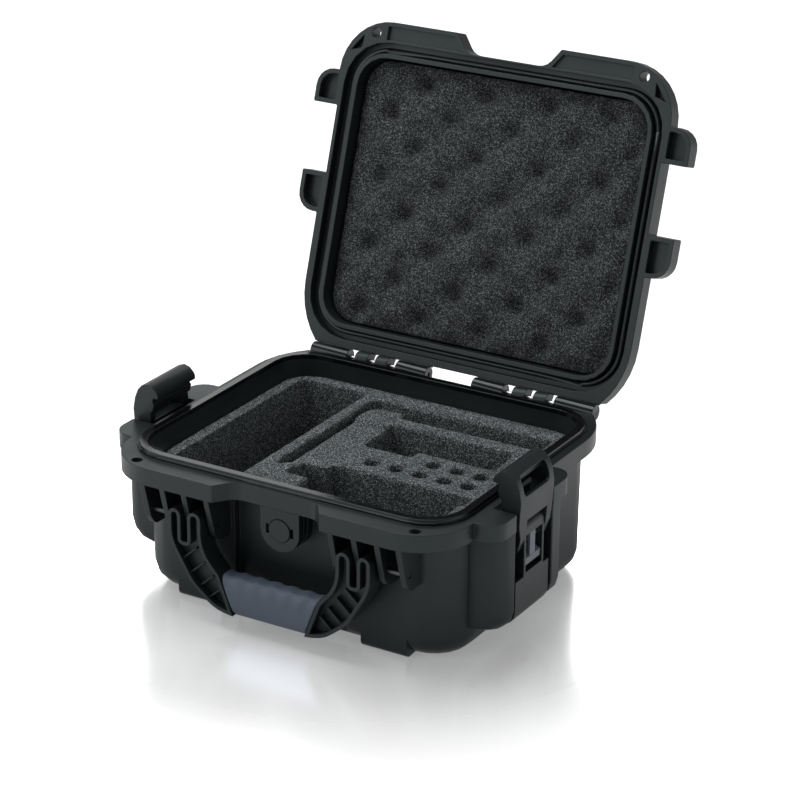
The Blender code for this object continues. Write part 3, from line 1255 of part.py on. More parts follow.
def make_claw(side, word, material):
    """The hooked claw: a web and a hook across its width, two cheeks and two arms down to its pin."""
    profile = [(CLAW_FACE_X - u * CLAW_REACH, CLAW_PIN_Z + v * CLAW_RISE)
               for u, v in CLAW_BACK_SHARES + CLAW_HOOK_SHARES]
    low = CLAW_GAP_CENTRE - CLAW_WIDTH / 2
    high = CLAW_GAP_CENTRE + CLAW_WIDTH / 2
    claw = prism(f"claw_{word}", [(side * x, z) for x, z in profile], low, high, "y", material)
    gap_low = STEM_CENTRE - CLAW_ARM_GAP / 2
    gap_high = STEM_CENTRE + CLAW_ARM_GAP / 2
    crotch = CLAW_PIN_Z + CLAW_CROTCH
    face = [(side * x, z) for x, z in neck_profile()]
    arms = []
    for inner, outer in ((gap_low, low), (gap_high, high)):
        first, last = sorted((inner, outer))
        arm = prism("arm_block", face, first, last, "y")
        toward = math.copysign(1, outer - inner)
        tip = inner + toward * CLAW_ARM_TIP
        left, right = sorted((side * (CLAW_PIN_X - CLAW_REACH), side * (CLAW_FACE_X + CUT_OVERRUN)))
        taper = [(tip, CLAW_PIN_Z - CLAW_REACH), (tip, CLAW_PIN_Z + CLAW_EYE_RADIUS),
                 (outer + toward * EDGE_RADIUS, crotch + JOIN_DEPTH),
                 (outer + toward * CLAW_REACH, crotch + JOIN_DEPTH),
                 (outer + toward * CLAW_REACH, CLAW_PIN_Z - CLAW_REACH)]
        cut(arm, [prism("taper_cut", taper, left, right, "x")])
        arms.append(arm)
    join(claw, arms)
    hollow_low, hollow_high = low + CLAW_CHEEK, high - CLAW_CHEEK
    left, right = sorted((side * (CLAW_FACE_X - CLAW_REACH * CLAW_HOLLOW_SHARE),
                          side * (CLAW_FACE_X - CLAW_SKIN)))
    tools = [box("hollow_cut", (left, hollow_low, crotch + CLAW_WEB_STEP),
                 (right, hollow_high, CLAW_PIN_Z + CLAW_HOLLOW_TOP))]
    left, right = sorted((side * (CLAW_FACE_X - CLAW_REACH * CLAW_WINDOW_SHARE),
                          side * (CLAW_FACE_X + CUT_OVERRUN)))
    sill, head = CLAW_PIN_Z + CLAW_WINDOW_LOW, CLAW_PIN_Z + CLAW_WINDOW_HIGH
    window = [(hollow_low, sill, CLAW_SKIN), (hollow_high, sill, CLAW_SKIN),
              (hollow_high, head, CLAW_SKIN), (hollow_low, head, CLAW_SKIN)]
    tools.append(prism("window_cut", fillet(window, EDGE_STEPS), left, right, "x"))
    tools.append(cylinder("pin_cut", (side * CLAW_PIN_X, CLAW_PIN_Z), PIN_RADIUS + RUNNING_GAP,
                          low - CUT_OVERRUN, high + CUT_OVERRUN, "y"))
    cut(claw, tools)
    return claw


def make_latch(side, word, materials):
    """One side latch: lever, lock slide, claw, the lever's pin in the pillars and the claw's pin."""
    seat = LEVER_PIN_SEAT
    cylinder(f"lever_pin_{word}", (side * LEVER_PIN_X, LEVER_PIN_Z), PIN_RADIUS, GAP_FRONT - seat,
             GAP_REAR + seat, "y", PIN_SIDES, materials["steel"])
    reach = CLAW_ARM_GAP / 2 + CLAW_ARM_TIP - EDGE_RADIUS / 2
    claw_pin = cylinder(f"claw_pin_{word}", (side * CLAW_PIN_X, CLAW_PIN_Z), PIN_RADIUS, STEM_CENTRE - reach,
                        STEM_CENTRE + reach, "y", PIN_SIDES, materials["steel"])
    lever = make_lever(side, word, materials["shell"])
    slide = make_lock_slide(side, word, materials["grip"])
    claw = make_claw(side, word, materials["shell"])
    lever_place = (side * LEVER_PIN_X, STEM_CENTRE, LEVER_PIN_Z)
    claw_place = (side * CLAW_PIN_X, STEM_CENTRE, CLAW_PIN_Z)
    carry(f"lever_axis_{word}", lever_place, [lever, slide])
    carry(f"claw_axis_{word}", claw_place, [claw, claw_pin], turn=(0, side * CLAW_LEAN, 0))


def with_tools(things):
    """The given pieces and every cutter or block that shapes them."""
    found = list(things)
    for thing in found:
        for modifier in thing.modifiers:
            if modifier.type == "BOOLEAN":
                found += [tool for tool in modifier.collection.objects if tool not in found]
    return found


def carry(name, place, things, turn=(0, 0, 0)):
    """Hang pieces from an empty on their joint's axis, and turn it."""
    axis = bpy.data.objects.new(name, None)
    bpy.context.scene.collection.objects.link(axis)
    axis.location = place
    for thing in with_tools(things):
        thing.parent = axis
        thing.matrix_parent_inverse = Matrix.Translation(-Vector(place))
    axis.rotation_euler = turn


def main():
    clear_scene()
    materials = {
        "shell": make_material("shell", (0.022, 0.025, 0.026), 0.45),
        "foam": make_material("foam", (0.035, 0.038, 0.040), 0.95),
        "seal": make_material("seal", (0.030, 0.032, 0.033), 0.60),
        "grip": make_material("grip", (0.100, 0.115, 0.145), 0.55),
        "steel": make_material("steel", (0.620, 0.630, 0.640), 0.25, 1.0),
    }
    make_base(materials["shell"])
    make_valve(materials)
    make_foam(materials["foam"])
    make_hinge_pins(materials["steel"])
    make_handle_pins(materials["steel"])
    hinge_place = (0, HINGE_Y, HINGE_Z)
    lid = [make_lid(materials["shell"]), make_gasket(materials["seal"]), make_lid_foam(materials["foam"])]
    carry("lid_axis", hinge_place, lid, turn=(-OPEN_ANGLE, 0, 0))
    handle = [make_handle(materials["shell"]), make_grip(materials["grip"])]
    carry("handle_axis", (0, -HANDLE_PIN_Y, HANDLE_PIN_Z), handle)
    for side, word in SIDES:
        make_latch(side, word, materials)


main()
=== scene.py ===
# %% [markdown]
# # A waterproof case and its foam
#
# The case stands open on a white table. Its shell is moulded plastic, its lid
# holds a sheet of convoluted foam, and a cut foam block fills its base. The
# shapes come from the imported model; this file gives them their finishes and
# makes the soft pieces again, in numpy, with the roundness that foam and
# rubber have.

import math

import bmesh
import bpy
import numpy as np
from mathutils import Matrix, Vector


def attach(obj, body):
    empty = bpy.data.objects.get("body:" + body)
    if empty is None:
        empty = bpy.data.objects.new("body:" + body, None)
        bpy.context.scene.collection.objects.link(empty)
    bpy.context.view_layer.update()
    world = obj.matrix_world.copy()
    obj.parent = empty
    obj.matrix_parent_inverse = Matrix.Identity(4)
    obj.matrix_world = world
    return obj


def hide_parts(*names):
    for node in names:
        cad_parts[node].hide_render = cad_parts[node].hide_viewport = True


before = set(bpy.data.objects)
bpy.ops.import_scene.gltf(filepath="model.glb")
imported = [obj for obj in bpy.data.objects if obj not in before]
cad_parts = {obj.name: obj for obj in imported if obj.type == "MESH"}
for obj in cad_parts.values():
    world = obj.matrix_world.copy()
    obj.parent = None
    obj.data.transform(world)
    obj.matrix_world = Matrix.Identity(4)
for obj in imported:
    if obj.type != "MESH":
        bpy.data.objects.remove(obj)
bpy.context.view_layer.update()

# %% [markdown]
# ## The camera
#
# The photograph was taken with a long lens, a little above the case and from
# its right. A camera could be placed by eye, but straight edges then drift.
# Here its place, its two turns, its slight roll and its lens come from points
# of the case that were measured in the picture.

# %% The camera
CAMERA_PLACE = Vector((0.98796, -1.62068, 0.92771))
CAMERA_YAW, CAMERA_PITCH, CAMERA_ROLL = (math.radians(a) for a in (30.5643, 22.5868, 0.3761))
LENS_MILLIMETRES, SENSOR_MILLIMETRES = 129.88, 36.0


def camera_turn(yaw, pitch, roll):
    """Columns of the turn: right, up and back of a camera turned by yaw, lowered by pitch, then rolled."""
    back = Vector((math.sin(yaw) * math.cos(pitch), -math.cos(yaw) * math.cos(pitch), math.sin(pitch)))
    right = Vector((math.cos(yaw), math.sin(yaw), 0))
    up = back.cross(right)
    right, up = (right * math.cos(roll) + up * math.sin(roll), up * math.cos(roll) - right * math.sin(roll))
    return Matrix((right, up, back)).transposed()


def show(name, data):
    """A new object in the scene for a camera, a lamp or a mesh."""
    shown = bpy.data.objects.new(name, data)
    bpy.context.scene.collection.objects.link(shown)
    return shown


lens = bpy.data.cameras.new("portrait_lens")
lens.lens, lens.sensor_width = LENS_MILLIMETRES, SENSOR_MILLIMETRES
camera = show("portrait_camera", lens)
camera.matrix_world = (Matrix.Translation(CAMERA_PLACE)
                       @ camera_turn(CAMERA_YAW, CAMERA_PITCH, CAMERA_ROLL).to_4x4())
bpy.context.scene.camera = camera
bpy.context.scene.view_settings.view_transform = "Standard"
print("the camera stands", round(CAMERA_PLACE.length, 2), "m from the case")

# %% [markdown]
# ## Building materials with little code
#
# A material is a small graph of nodes. The first helper adds one node, sets
# some of its values and joins others to it, so that each finish below reads
# like a list. The others do the steps that come up again and again: a sum or
# a comparison, a blend of two colours, a new material, and a group of nodes
# that several materials share.

# %% Helpers for nodes
WHITE, BLACK = (1, 1, 1, 1), (0, 0, 0, 1)


def add(tree, kind, values=None, **settings):
    """Add a node; values go to its inputs, as numbers or as outputs of other nodes."""
    node = tree.nodes.new("ShaderNode" + kind)
    for name, value in settings.items():
        setattr(node, name, value)
    for name, value in (values or {}).items():
        socket = node.inputs[name]
        if isinstance(value, bpy.types.NodeSocket):
            tree.links.new(value, socket)
        else:
            socket.default_value = value
    return node


def maths(tree, operation, first, second=0.0, clamp=False):
    """One step of arithmetic on two values."""
    return add(tree, "Math", {0: first, 1: second}, operation=operation, use_clamp=clamp).outputs[0]


def blend(tree, share, first, second):
    """A colour between two, at a share from 0 to 1."""
    return add(tree, "Mix", {"Factor": share, 6: first, 7: second}, data_type="RGBA").outputs[2]


def new_finish(name):
    """A new material, with its nodes and its main shader."""
    material = bpy.data.materials.new(name)
    material.use_nodes = True
    return material, material.node_tree, material.node_tree.nodes["Principled BSDF"]


def new_group(name, inputs, outputs):
    """An empty node group with named sockets; inputs carry their usual values."""
    tree = bpy.data.node_groups.new(name, "ShaderNodeTree")
    for title, usual in inputs.items():
        tree.interface.new_socket(title, in_out="INPUT", socket_type="NodeSocketFloat").default_value = usual
    for title in outputs:
        tree.interface.new_socket(title, in_out="OUTPUT", socket_type="NodeSocketFloat")
    return tree, tree.nodes.new("NodeGroupInput").outputs, tree.nodes.new("NodeGroupOutput").inputs


def use_group(tree, group):
    """Place a group in a material, with its usual values."""
    node = tree.nodes.new("ShaderNodeGroup")
    node.node_tree = group
    return node.outputs


# %% [markdown]
# ## White ground and soft light
#
# Such pictures are taken on a white table with large soft lamps. More lamp
# light would turn the ground white, and wash out the case too. Instead the
# ground glows a little, for the camera and for reflections only, so the case
# keeps its own light and its shadow stays.
#
# The table also mirrors the case faintly. The mirror is full near the middle
# of the case and fades with the distance from it, as in the photograph. Where
# it fades, the ground no longer shows the white room, so its glow grows by as
# much.

# %% The ground
ROOM_LIGHT = 0.28
GROUND_GREY, GROUND_GLOW = 0.50, 0.235
GROUND_ROUGHNESS, GROUND_SHINE = 0.5, 0.2
MIRROR_STRENGTH, MIRROR_BLUR = 1.85, 0.21
MIRROR_FULL, MIRROR_END = 0.18, 0.35
GROUND_HALF = 9.0

ground_paint, tree, _ = new_finish("white_table")
tree.nodes.clear()
rays = add(tree, "LightPath").outputs
seen = maths(tree, "MAXIMUM", rays["Is Camera Ray"], rays["Is Glossy Ray"])
seen = maths(tree, "MAXIMUM", seen, rays["Is Transmission Ray"])
spot = add(tree, "TexCoord").outputs["Object"]
distance = add(tree, "VectorMath", {0: spot}, operation="LENGTH").outputs["Value"]
polish = add(tree, "MapRange", {"Value": distance, "From Min": MIRROR_FULL, "From Max": MIRROR_END,
                                "To Min": 1.0, "To Max": 0.0}, interpolation_type="SMOOTHSTEP").outputs[0]
glow_level = add(tree, "MapRange", {"Value": polish, "To Min": GROUND_GLOW + MIRROR_STRENGTH * ROOM_LIGHT,
                                    "To Max": GROUND_GLOW}).outputs[0]
glow_strength = maths(tree, "MULTIPLY", seen, glow_level)
glow = add(tree, "Emission", {"Color": WHITE, "Strength": glow_strength}).outputs[0]
paint = add(tree, "BsdfPrincipled", {"Base Color": (GROUND_GREY, GROUND_GREY, GROUND_GREY, 1),
                                     "Roughness": GROUND_ROUGHNESS,
                                     "Specular IOR Level": GROUND_SHINE}).outputs[0]
mirror_level = maths(tree, "MULTIPLY", polish, MIRROR_STRENGTH)
mirror_colour = add(tree, "CombineXYZ", {0: mirror_level, 1: mirror_level, 2: mirror_level}).outputs[0]
mirror = add(tree, "BsdfAnisotropic", {"Color": mirror_colour, "Roughness": MIRROR_BLUR}).outputs[0]
nothing = add(tree, "BsdfTransparent", {"Color": BLACK}).outputs[0]
mirror = add(tree, "MixShader", {0: rays["Is Camera Ray"], 1: nothing, 2: mirror}).outputs[0]
both = add(tree, "AddShader", {0: paint, 1: glow}).outputs[0]
both = add(tree, "AddShader", {0: both, 1: mirror}).outputs[0]
add(tree, "OutputMaterial", {"Surface": both})

ground_mesh = bpy.data.meshes.new("white_table")
ground_mesh.from_pydata([(-GROUND_HALF, -GROUND_HALF, 0), (GROUND_HALF, -GROUND_HALF, 0),
                         (GROUND_HALF, GROUND_HALF, 0), (-GROUND_HALF, GROUND_HALF, 0)], [], [(0, 1, 2, 3)])
ground_mesh.materials.append(ground_paint)
ground = show("white_table", ground_mesh)
print("the glow runs from", GROUND_GLOW, "to", round(GROUND_GLOW + MIRROR_STRENGTH * ROOM_LIGHT, 3))

# %% [markdown]
# ## The room and its lamps
#
# The room is white where the camera looks at it, but lights the case only
# weakly, so that the lamps shape it: a large one from above, one from each
# side, a soft one from the front and a wide one from behind.

# %% Room and lamps
world = bpy.data.worlds.new("white_room")
bpy.context.scene.world = world
world.use_nodes = True
tree = world.node_tree
tree.nodes.clear()
rays = add(tree, "LightPath").outputs
seen = maths(tree, "MAXIMUM", rays["Is Camera Ray"], rays["Is Transmission Ray"])
strength = add(tree, "MapRange", {"Value": seen, "To Min": ROOM_LIGHT, "To Max": 1.0}).outputs[0]
sky = add(tree, "Background", {"Color": WHITE, "Strength": strength}).outputs[0]
add(tree, "OutputWorld", {"Surface": sky})

# Each lamp's name, place, target, size in metres and power in watts
SOFTBOXES = [
    ("top_softbox", (-0.5, 0.1, 2.0), (0, 0, 0.1), 1.4, 25),
    ("left_softbox", (-1.9, -1.1, 1.2), (0, 0, 0.12), 1.0, 7),
    ("right_softbox", (1.9, -0.2, 0.9), (0, 0, 0.12), 1.0, 2.5),
    ("front_softbox", (-1.15, -2.2, 1.0), (0, 0.1, 0.2), 1.3, 10),
    ("back_softbox", (-1.2, 2.4, 1.7), (0, 0, 0.12), 1.8, 13),
]


def soft_lamp(name, place, target, size, power):
    """A square area lamp that looks from its place to a target."""
    data = bpy.data.lights.new(name, "AREA")
    data.size, data.energy = size, power
    lamp = show(name, data)
    lamp.matrix_world = (Matrix.Translation(Vector(place))
                         @ (Vector(target) - Vector(place)).to_track_quat("-Z", "Y").to_matrix().to_4x4())


for softbox in SOFTBOXES:
    soft_lamp(*softbox)
print(len(SOFTBOXES), "lamps with", sum(softbox[-1] for softbox in SOFTBOXES), "W in all")

# %% [markdown]
# ## Moulded plastic
#
# The shell is pressed from black plastic with a fine, even grain, and its
# gloss wanders a little. A photograph of real grain would do, but a noise
# pattern has no seams and no edges. The grain is a node group, because the
# shell, the locks, the grip and the seal share it. Sharp corners catch the
# light as a thin line, so each corner is rounded in the shading.
#
# The base's sealing ridge has a mould polish, so that the seal closes on it,
# and its roughness is lower. Its colour is also darkened there: painted shade,
# for the dark things that the ridge reflects. A second group finds it by its
# place: above the rim, and not as far out as the latches.

# %% The grain of moulded plastic
GRAIN_PER_METRE, CLOUDS_PER_METRE = 2600.0, 18.0
grain, given, result = new_group("moulded_grain", {"Grain": GRAIN_PER_METRE, "Clouds": CLOUDS_PER_METRE},
                                 ["Height", "Cloud"])
spot = add(grain, "TexCoord").outputs["Object"]
fine = add(grain, "TexNoise", {"Vector": spot, "Scale": given["Grain"], "Detail": 2.0}).outputs[0]
cloud = add(grain, "TexNoise", {"Vector": spot, "Scale": given["Clouds"], "Detail": 4.0}).outputs[0]
grain.links.new(fine, result["Height"])
grain.links.new(cloud, result["Cloud"])

RIDGE_LEVEL, RIDGE_HALF_WIDTH = 0.1103, 0.1345
ridge, given, result = new_group("sealing_ridge", {"Level": RIDGE_LEVEL, "Half width": RIDGE_HALF_WIDTH},
                                 ["Polished"])
place = add(ridge, "SeparateXYZ", {0: add(ridge, "TexCoord").outputs["Object"]}).outputs
above = maths(ridge, "GREATER_THAN", place["Z"], given["Level"])
within = maths(ridge, "LESS_THAN", maths(ridge, "ABSOLUTE", place["X"]), given["Half width"])
ridge.links.new(maths(ridge, "MULTIPLY", above, within), result["Polished"])

# %% Finishes of moulded plastic
# The ridge's darker tone is painted shade; its lower roughness is its real polish.
RIDGE_PAINTED_SHADE, POLISHED_ROUGHNESS = (0.0030, 0.0036, 0.0038), 0.13
CLOUD_LOW, CLOUD_HIGH, GLOSS_DRIFT = 0.3, 0.7, 0.05
CORNER_RADIUS, CORNER_SAMPLES = 0.0009, 6
GRAIN_DEPTH, GRAIN_STRENGTH = 0.0002, 0.10
COOL_SHINE = (0.86, 0.97, 1.0, 1)
SHELL_DARK, SHELL_LIGHT = (0.0088, 0.0118, 0.0128), (0.0128, 0.0168, 0.0180)
GRIP_DARK, GRIP_LIGHT = (0.082, 0.102, 0.140), (0.104, 0.128, 0.170)
SLIDE_DARK, SLIDE_LIGHT = (0.120, 0.140, 0.175), (0.150, 0.170, 0.205)
SEAL_DARK, SEAL_LIGHT = (0.012, 0.0135, 0.0138), (0.017, 0.019, 0.0192)


def moulded(name, dark, light, roughness, shine, polished_and_shaded_ridge=False):
    """Plastic or rubber: its colour drifts between dark and light, and its gloss drifts with the cloud; on
    the ridge its colour is darkened as painted shade, and it is glossier.
    """
    material, tree, shader = new_finish(name)
    parts = use_group(tree, grain)
    tone = blend(tree, parts["Cloud"], (*dark, 1), (*light, 1))
    gloss = add(tree, "MapRange", {"Value": parts["Cloud"], "From Min": CLOUD_LOW, "From Max": CLOUD_HIGH,
                                   "To Min": roughness - GLOSS_DRIFT,
                                   "To Max": roughness + GLOSS_DRIFT}).outputs[0]
    if polished_and_shaded_ridge:
        on_ridge = use_group(tree, ridge)["Polished"]
        # Painted shade: the ridge's colour is darkened here, and its roughness is lowered for its polish.
        tone = blend(tree, on_ridge, tone, (*RIDGE_PAINTED_SHADE, 1))
        gloss = add(tree, "Mix", {"Factor": on_ridge, 2: gloss, 3: POLISHED_ROUGHNESS}).outputs[0]
    corner = add(tree, "Bevel", {"Radius": CORNER_RADIUS}, samples=CORNER_SAMPLES).outputs[0]
    relief = add(tree, "Bump", {"Strength": GRAIN_STRENGTH, "Distance": GRAIN_DEPTH,
                                "Height": parts["Height"], "Normal": corner}).outputs[0]
    tree.links.new(tone, shader.inputs["Base Color"])
    tree.links.new(gloss, shader.inputs["Roughness"])
    tree.links.new(relief, shader.inputs["Normal"])
    shader.inputs["Specular IOR Level"].default_value = shine
    shader.inputs["Specular Tint"].default_value = COOL_SHINE
    return material


shell_plastic = moulded("shell_plastic", SHELL_DARK, SHELL_LIGHT, roughness=0.42, shine=0.40)
grip_rubber = moulded("grip_rubber", GRIP_DARK, GRIP_LIGHT, roughness=0.50, shine=0.40)
tub_plastic = moulded("tub_plastic", SHELL_DARK, SHELL_LIGHT, roughness=0.42, shine=0.40,
                      polished_and_shaded_ridge=True)
slide_plastic = moulded("slide_plastic", SLIDE_DARK, SLIDE_LIGHT, roughness=0.34, shine=0.50)
seal_rubber = moulded("seal_rubber", SEAL_DARK, SEAL_LIGHT, roughness=0.36, shine=0.55)
moulded_finishes = (shell_plastic, grip_rubber, tub_plastic, slide_plastic, seal_rubber)
print("moulded finishes:", [finish.name for finish in moulded_finishes])

# %% [markdown]
# ## Steel pins
#
# The pins are drawn steel. Drawing leaves hairlines along the wire, which a
# noise stretched along X shows. The handle's pins are darkened.

# %% Steel
HAIRLINES_PER_METRE = (40.0, 2600.0, 2600.0)


def drawn_steel(name, colour, smooth, rough):
    """Steel whose roughness runs in hairlines between two values."""
    material, tree, shader = new_finish(name)
    spot = add(tree, "TexCoord").outputs["Object"]
    stretched = add(tree, "Mapping", {"Vector": spot, "Scale": HAIRLINES_PER_METRE}).outputs[0]
    lines = add(tree, "TexNoise", {"Vector": stretched, "Scale": 1.0, "Detail": 2.0}).outputs[0]
    polish = add(tree, "MapRange", {"Value": lines, "To Min": smooth, "To Max": rough}).outputs[0]
    shader.inputs["Base Color"].default_value = (*colour, 1)
    shader.inputs["Metallic"].default_value = 1.0
    tree.links.new(polish, shader.inputs["Roughness"])
    return material


pin_steel = drawn_steel("pin_steel", (0.60, 0.61, 0.62), smooth=0.18, rough=0.38)
dark_steel = drawn_steel("dark_steel", (0.085, 0.090, 0.093), smooth=0.35, rough=0.50)

# %% [markdown]
# ## Foam
#
# Open foam is a mass of tiny bubbles. Where a bubble's rim is cut, it shines
# as a light speck, and between the specks the foam is dark and without gloss.
# Real bubbles would need millions of faces, so a pattern of cells stands for
# them. Each cell has a chance of its own, and a high power of it leaves only
# a few cells bright. The distance from a cell's middle pits the face, and a
# soft noise lets the specks gather. Both foams share the group. The sheet in
# the lid is the same foam, but its colours are darker: painted shade.

# %% The specks of foam
SPECKS_PER_METRE, GATHERING_PER_METRE = 1800.0, 60.0
SPECK_RARITY = 5.0
GATHERING_LOW, GATHERING_HIGH = 0.75, 1.25
PIT_DEPTH, PIT_STRENGTH = 0.0006, 0.8
FOAM_ROUGHNESS, FOAM_SHINE = 0.95, 0.2
speckle, given, result = new_group("foam_specks",
                                   {"Specks": SPECKS_PER_METRE, "Gathering": GATHERING_PER_METRE},
                                   ["Bright", "Height", "Tone"])
spot = add(speckle, "TexCoord").outputs["Object"]
cells = add(speckle, "TexVoronoi", {"Vector": spot, "Scale": given["Specks"]}).outputs
chance = add(speckle, "SeparateColor", {0: cells["Color"]}).outputs[0]
gather = add(speckle, "TexNoise", {"Vector": spot, "Scale": given["Gathering"], "Detail": 3.0}).outputs[0]
speckle.links.new(maths(speckle, "POWER", chance, SPECK_RARITY), result["Bright"])
speckle.links.new(cells["Distance"], result["Height"])
speckle.links.new(gather, result["Tone"])


def foam(name, dark, light):
    """Dull foam: dark between its bubbles, light on their rims, and pitted by them."""
    material, tree, shader = new_finish(name)
    parts = use_group(tree, speckle)
    tone = add(tree, "MapRange", {"Value": parts["Tone"], "To Min": GATHERING_LOW,
                                  "To Max": GATHERING_HIGH}).outputs[0]
    share = maths(tree, "MULTIPLY", parts["Bright"], tone, clamp=True)
    relief = add(tree, "Bump", {"Strength": PIT_STRENGTH, "Distance": PIT_DEPTH,
                                "Height": parts["Height"]}).outputs[0]
    tree.links.new(blend(tree, share, (*dark, 1), (*light, 1)), shader.inputs["Base Color"])
    tree.links.new(relief, shader.inputs["Normal"])
    shader.inputs["Roughness"].default_value = FOAM_ROUGHNESS
    shader.inputs["Specular IOR Level"].default_value = FOAM_SHINE
    return material


block_foam = foam("block_foam", (0.033, 0.038, 0.040), (0.520, 0.570, 0.590))
# Painted shade: the lid's sheet is the block's foam with darker colours.
shaded_sheet_foam = foam("shaded_sheet_foam", (0.017, 0.019, 0.020), (0.270, 0.295, 0.305))

# %% [markdown]
# ## Hard pieces
#
# The model's moulded pieces have the right shapes, but their surfaces are
# loose triangles, which show as facets. A copy of each is welded together and
# shaded smoothly, and only its true corners stay sharp. Weighting the shading
# by area keeps large flat walls flat beside their roundings.

# %% Welded, smoothly shaded copies
WELD = 1e-5
CORNER_ANGLE = math.radians(34)


def welded(node_name, piece_name):
    """A copy of a model piece whose triangles are joined along their edges."""
    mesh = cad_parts[node_name].data.copy()
    mesh.name = piece_name
    if "custom_normal" in mesh.attributes:
        mesh.attributes.remove(mesh.attributes["custom_normal"])
    builder = bmesh.new()
    builder.from_mesh(mesh)
    bmesh.ops.remove_doubles(builder, verts=builder.verts, dist=WELD)
    builder.to_mesh(mesh)
    builder.free()
    return mesh


def put(piece_name, mesh, material, body, slot, *nodes):
    """Show a mesh as a piece of the case that rides on a body and stands for some model pieces."""
    mesh.materials.clear()
    mesh.materials.append(material)
    piece = show(piece_name, mesh)
    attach(piece, body)
    if nodes:
        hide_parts(*nodes)
    return piece


def hard_piece(node_name, piece_name, material, body, slot):
    """Put a welded copy in a model piece's place, smooth but for its true corners."""
    mesh = welded(node_name, piece_name)
    mesh.shade_smooth()
    mesh.set_sharp_from_angle(angle=CORNER_ANGLE)
    piece = put(piece_name, mesh, material, body, slot, node_name)
    weighting = piece.modifiers.new("flat_walls", "WEIGHTED_NORMAL")
    weighting.keep_sharp = True
    return piece


HARD_PIECES = [
    ("base_shell", "base_tub", tub_plastic, "case", "shell"),
    ("valve_body", "valve_neck", shell_plastic, "case", "shell"),
    ("valve_cover", "valve_face", shell_plastic, "case", "shell"),
    ("valve_knob", "valve_dial", shell_plastic, "case", "shell"),
    ("lid_shell", "lid_tub", shell_plastic, "lid", "shell"),
    ("handle_frame", "handle_arms", shell_plastic, "handle", "shell"),
]
for side in ("left", "right"):
    HARD_PIECES += [
        (f"lever_{side}", f"latch_lever_{side}", shell_plastic, f"lever_{side}", "shell"),
        (f"claw_{side}", f"latch_claw_{side}", shell_plastic, f"claw_{side}", "shell"),
        (f"lock_slide_{side}", f"latch_lock_{side}", slide_plastic, f"lock_slide_{side}", "grip"),
        (f"claw_pin_{side}", f"latch_pin_{side}", pin_steel, f"claw_{side}", "steel"),
        (f"lever_pin_{side}", f"pillar_pin_{side}", pin_steel, "case", "steel"),
        (f"hinge_pin_{side}", f"hinge_rod_{side}", pin_steel, "case", "steel"),
        (f"handle_pin_{side}", f"handle_rod_{side}", dark_steel, "case", "steel"),
    ]
hard = {row[1]: hard_piece(*row) for row in HARD_PIECES}
print(len(hard), "hard pieces, the base with", len(hard["base_tub"].data.polygons), "faces")

# %% [markdown]
# ## Surfaces from arrays
#
# The soft pieces are worked out as arrays: a grid of points, row by row, and
# the faces between them. One helper joins any grid, and can close it round
# either way.

# %% Faces of a grid


def grid_faces(rows, columns, round_rows=False, round_columns=False):
    """Four-sided faces between neighbours of a rows by columns grid, numbered row by row."""
    down = np.arange(rows if round_rows else rows - 1)[:, None]
    along = np.arange(columns if round_columns else columns - 1)[None, :]
    below, beside = (down + 1) % rows, (along + 1) % columns
    corners = [down * columns + along, down * columns + beside, below * columns + beside,
               below * columns + along]
    return np.stack(np.broadcast_arrays(*corners), axis=-1).reshape(-1, 4)


def mesh_of(name, points, faces, caps=()):
    """A closed, smoothly shaded mesh from arrays, with its faces turned outward."""
    mesh = bpy.data.meshes.new(name)
    mesh.from_pydata(np.asarray(points).tolist(), [], np.asarray(faces).tolist() + [list(c) for c in caps])
    builder = bmesh.new()
    builder.from_mesh(mesh)
    bmesh.ops.recalc_face_normals(builder, faces=builder.faces[:])
    builder.to_mesh(mesh)
    builder.free()
    mesh.shade_smooth()
    return mesh


# %% [markdown]
# ## The open lid
#
# Everything in the lid is worked out as if the lid were closed, where it is
# easiest to measure, and then swung back about the hinge.

# %% Swinging the lid open
HINGE = np.array([0.0, 0.1280, 0.1089])
LID_ANGLE = math.radians(-108.0)


def swing_open(points):
    """Turn points about the hinge line, which runs along X, by the lid's angle."""
    y, z = points[:, 1] - HINGE[1], points[:, 2] - HINGE[2]
    turned = points.copy()
    turned[:, 1] = HINGE[1] + y * math.cos(LID_ANGLE) - z * math.sin(LID_ANGLE)
    turned[:, 2] = HINGE[2] + y * math.sin(LID_ANGLE) + z * math.cos(LID_ANGLE)
    return turned


# %% [markdown]
# ## Convoluted foam in the lid
#
# The lid holds a sheet of convoluted foam: round hollows in rows, each row
# set off by half a step from the next, with soft crowns between them. It
# could be sculpted, but the product of two cosines is just such a lattice.
# A high power of it keeps the hollows small and round, and a high power of
# its opposite keeps the crowns' tops small, so the face between them lies
# nearly level. The hollows' depths differ slightly, as they do in foam that
# was cut by hand, and the lattice fades out at the left and right edges.

# %% The shape of the lid foam
SHEET_HALF_X, SHEET_FRONT, SHEET_REAR = 0.12136, -0.09936, 0.10286
SHEET_CORNER = 0.0214
SHEET_CROWN, SHEET_BACK = 0.1145, 0.1482
HOLLOW_DEPTH, CROWN_RISE, EDGE_DROP = 0.0080, 0.0026, 0.0045
LATTICE_POWER, EDGE_POWER = 5.0, 14
SIDE_BAND = 0.016
PITCH_X, PITCH_Y, START_X, START_Y = 0.0524, 0.0508, 0.2, 0.8
DEPTH_CHANCE, DEPTH_CHANCE_SIZE, DEPTH_SEED = 0.15, 0.05, 3
FACE_RIPPLE, FACE_RIPPLE_SIZE, FACE_SEED = 0.0008, 0.018, 5
SHEET_COLUMNS, SHEET_ROWS, WALL_STEPS = 250, 210, 12
CENTRE_REACH, BEND_POWER = 1e-9, 4
WAVE_COUNT, WAVE_SHORTEST, WAVE_SPREAD = 9, 0.7, 0.6


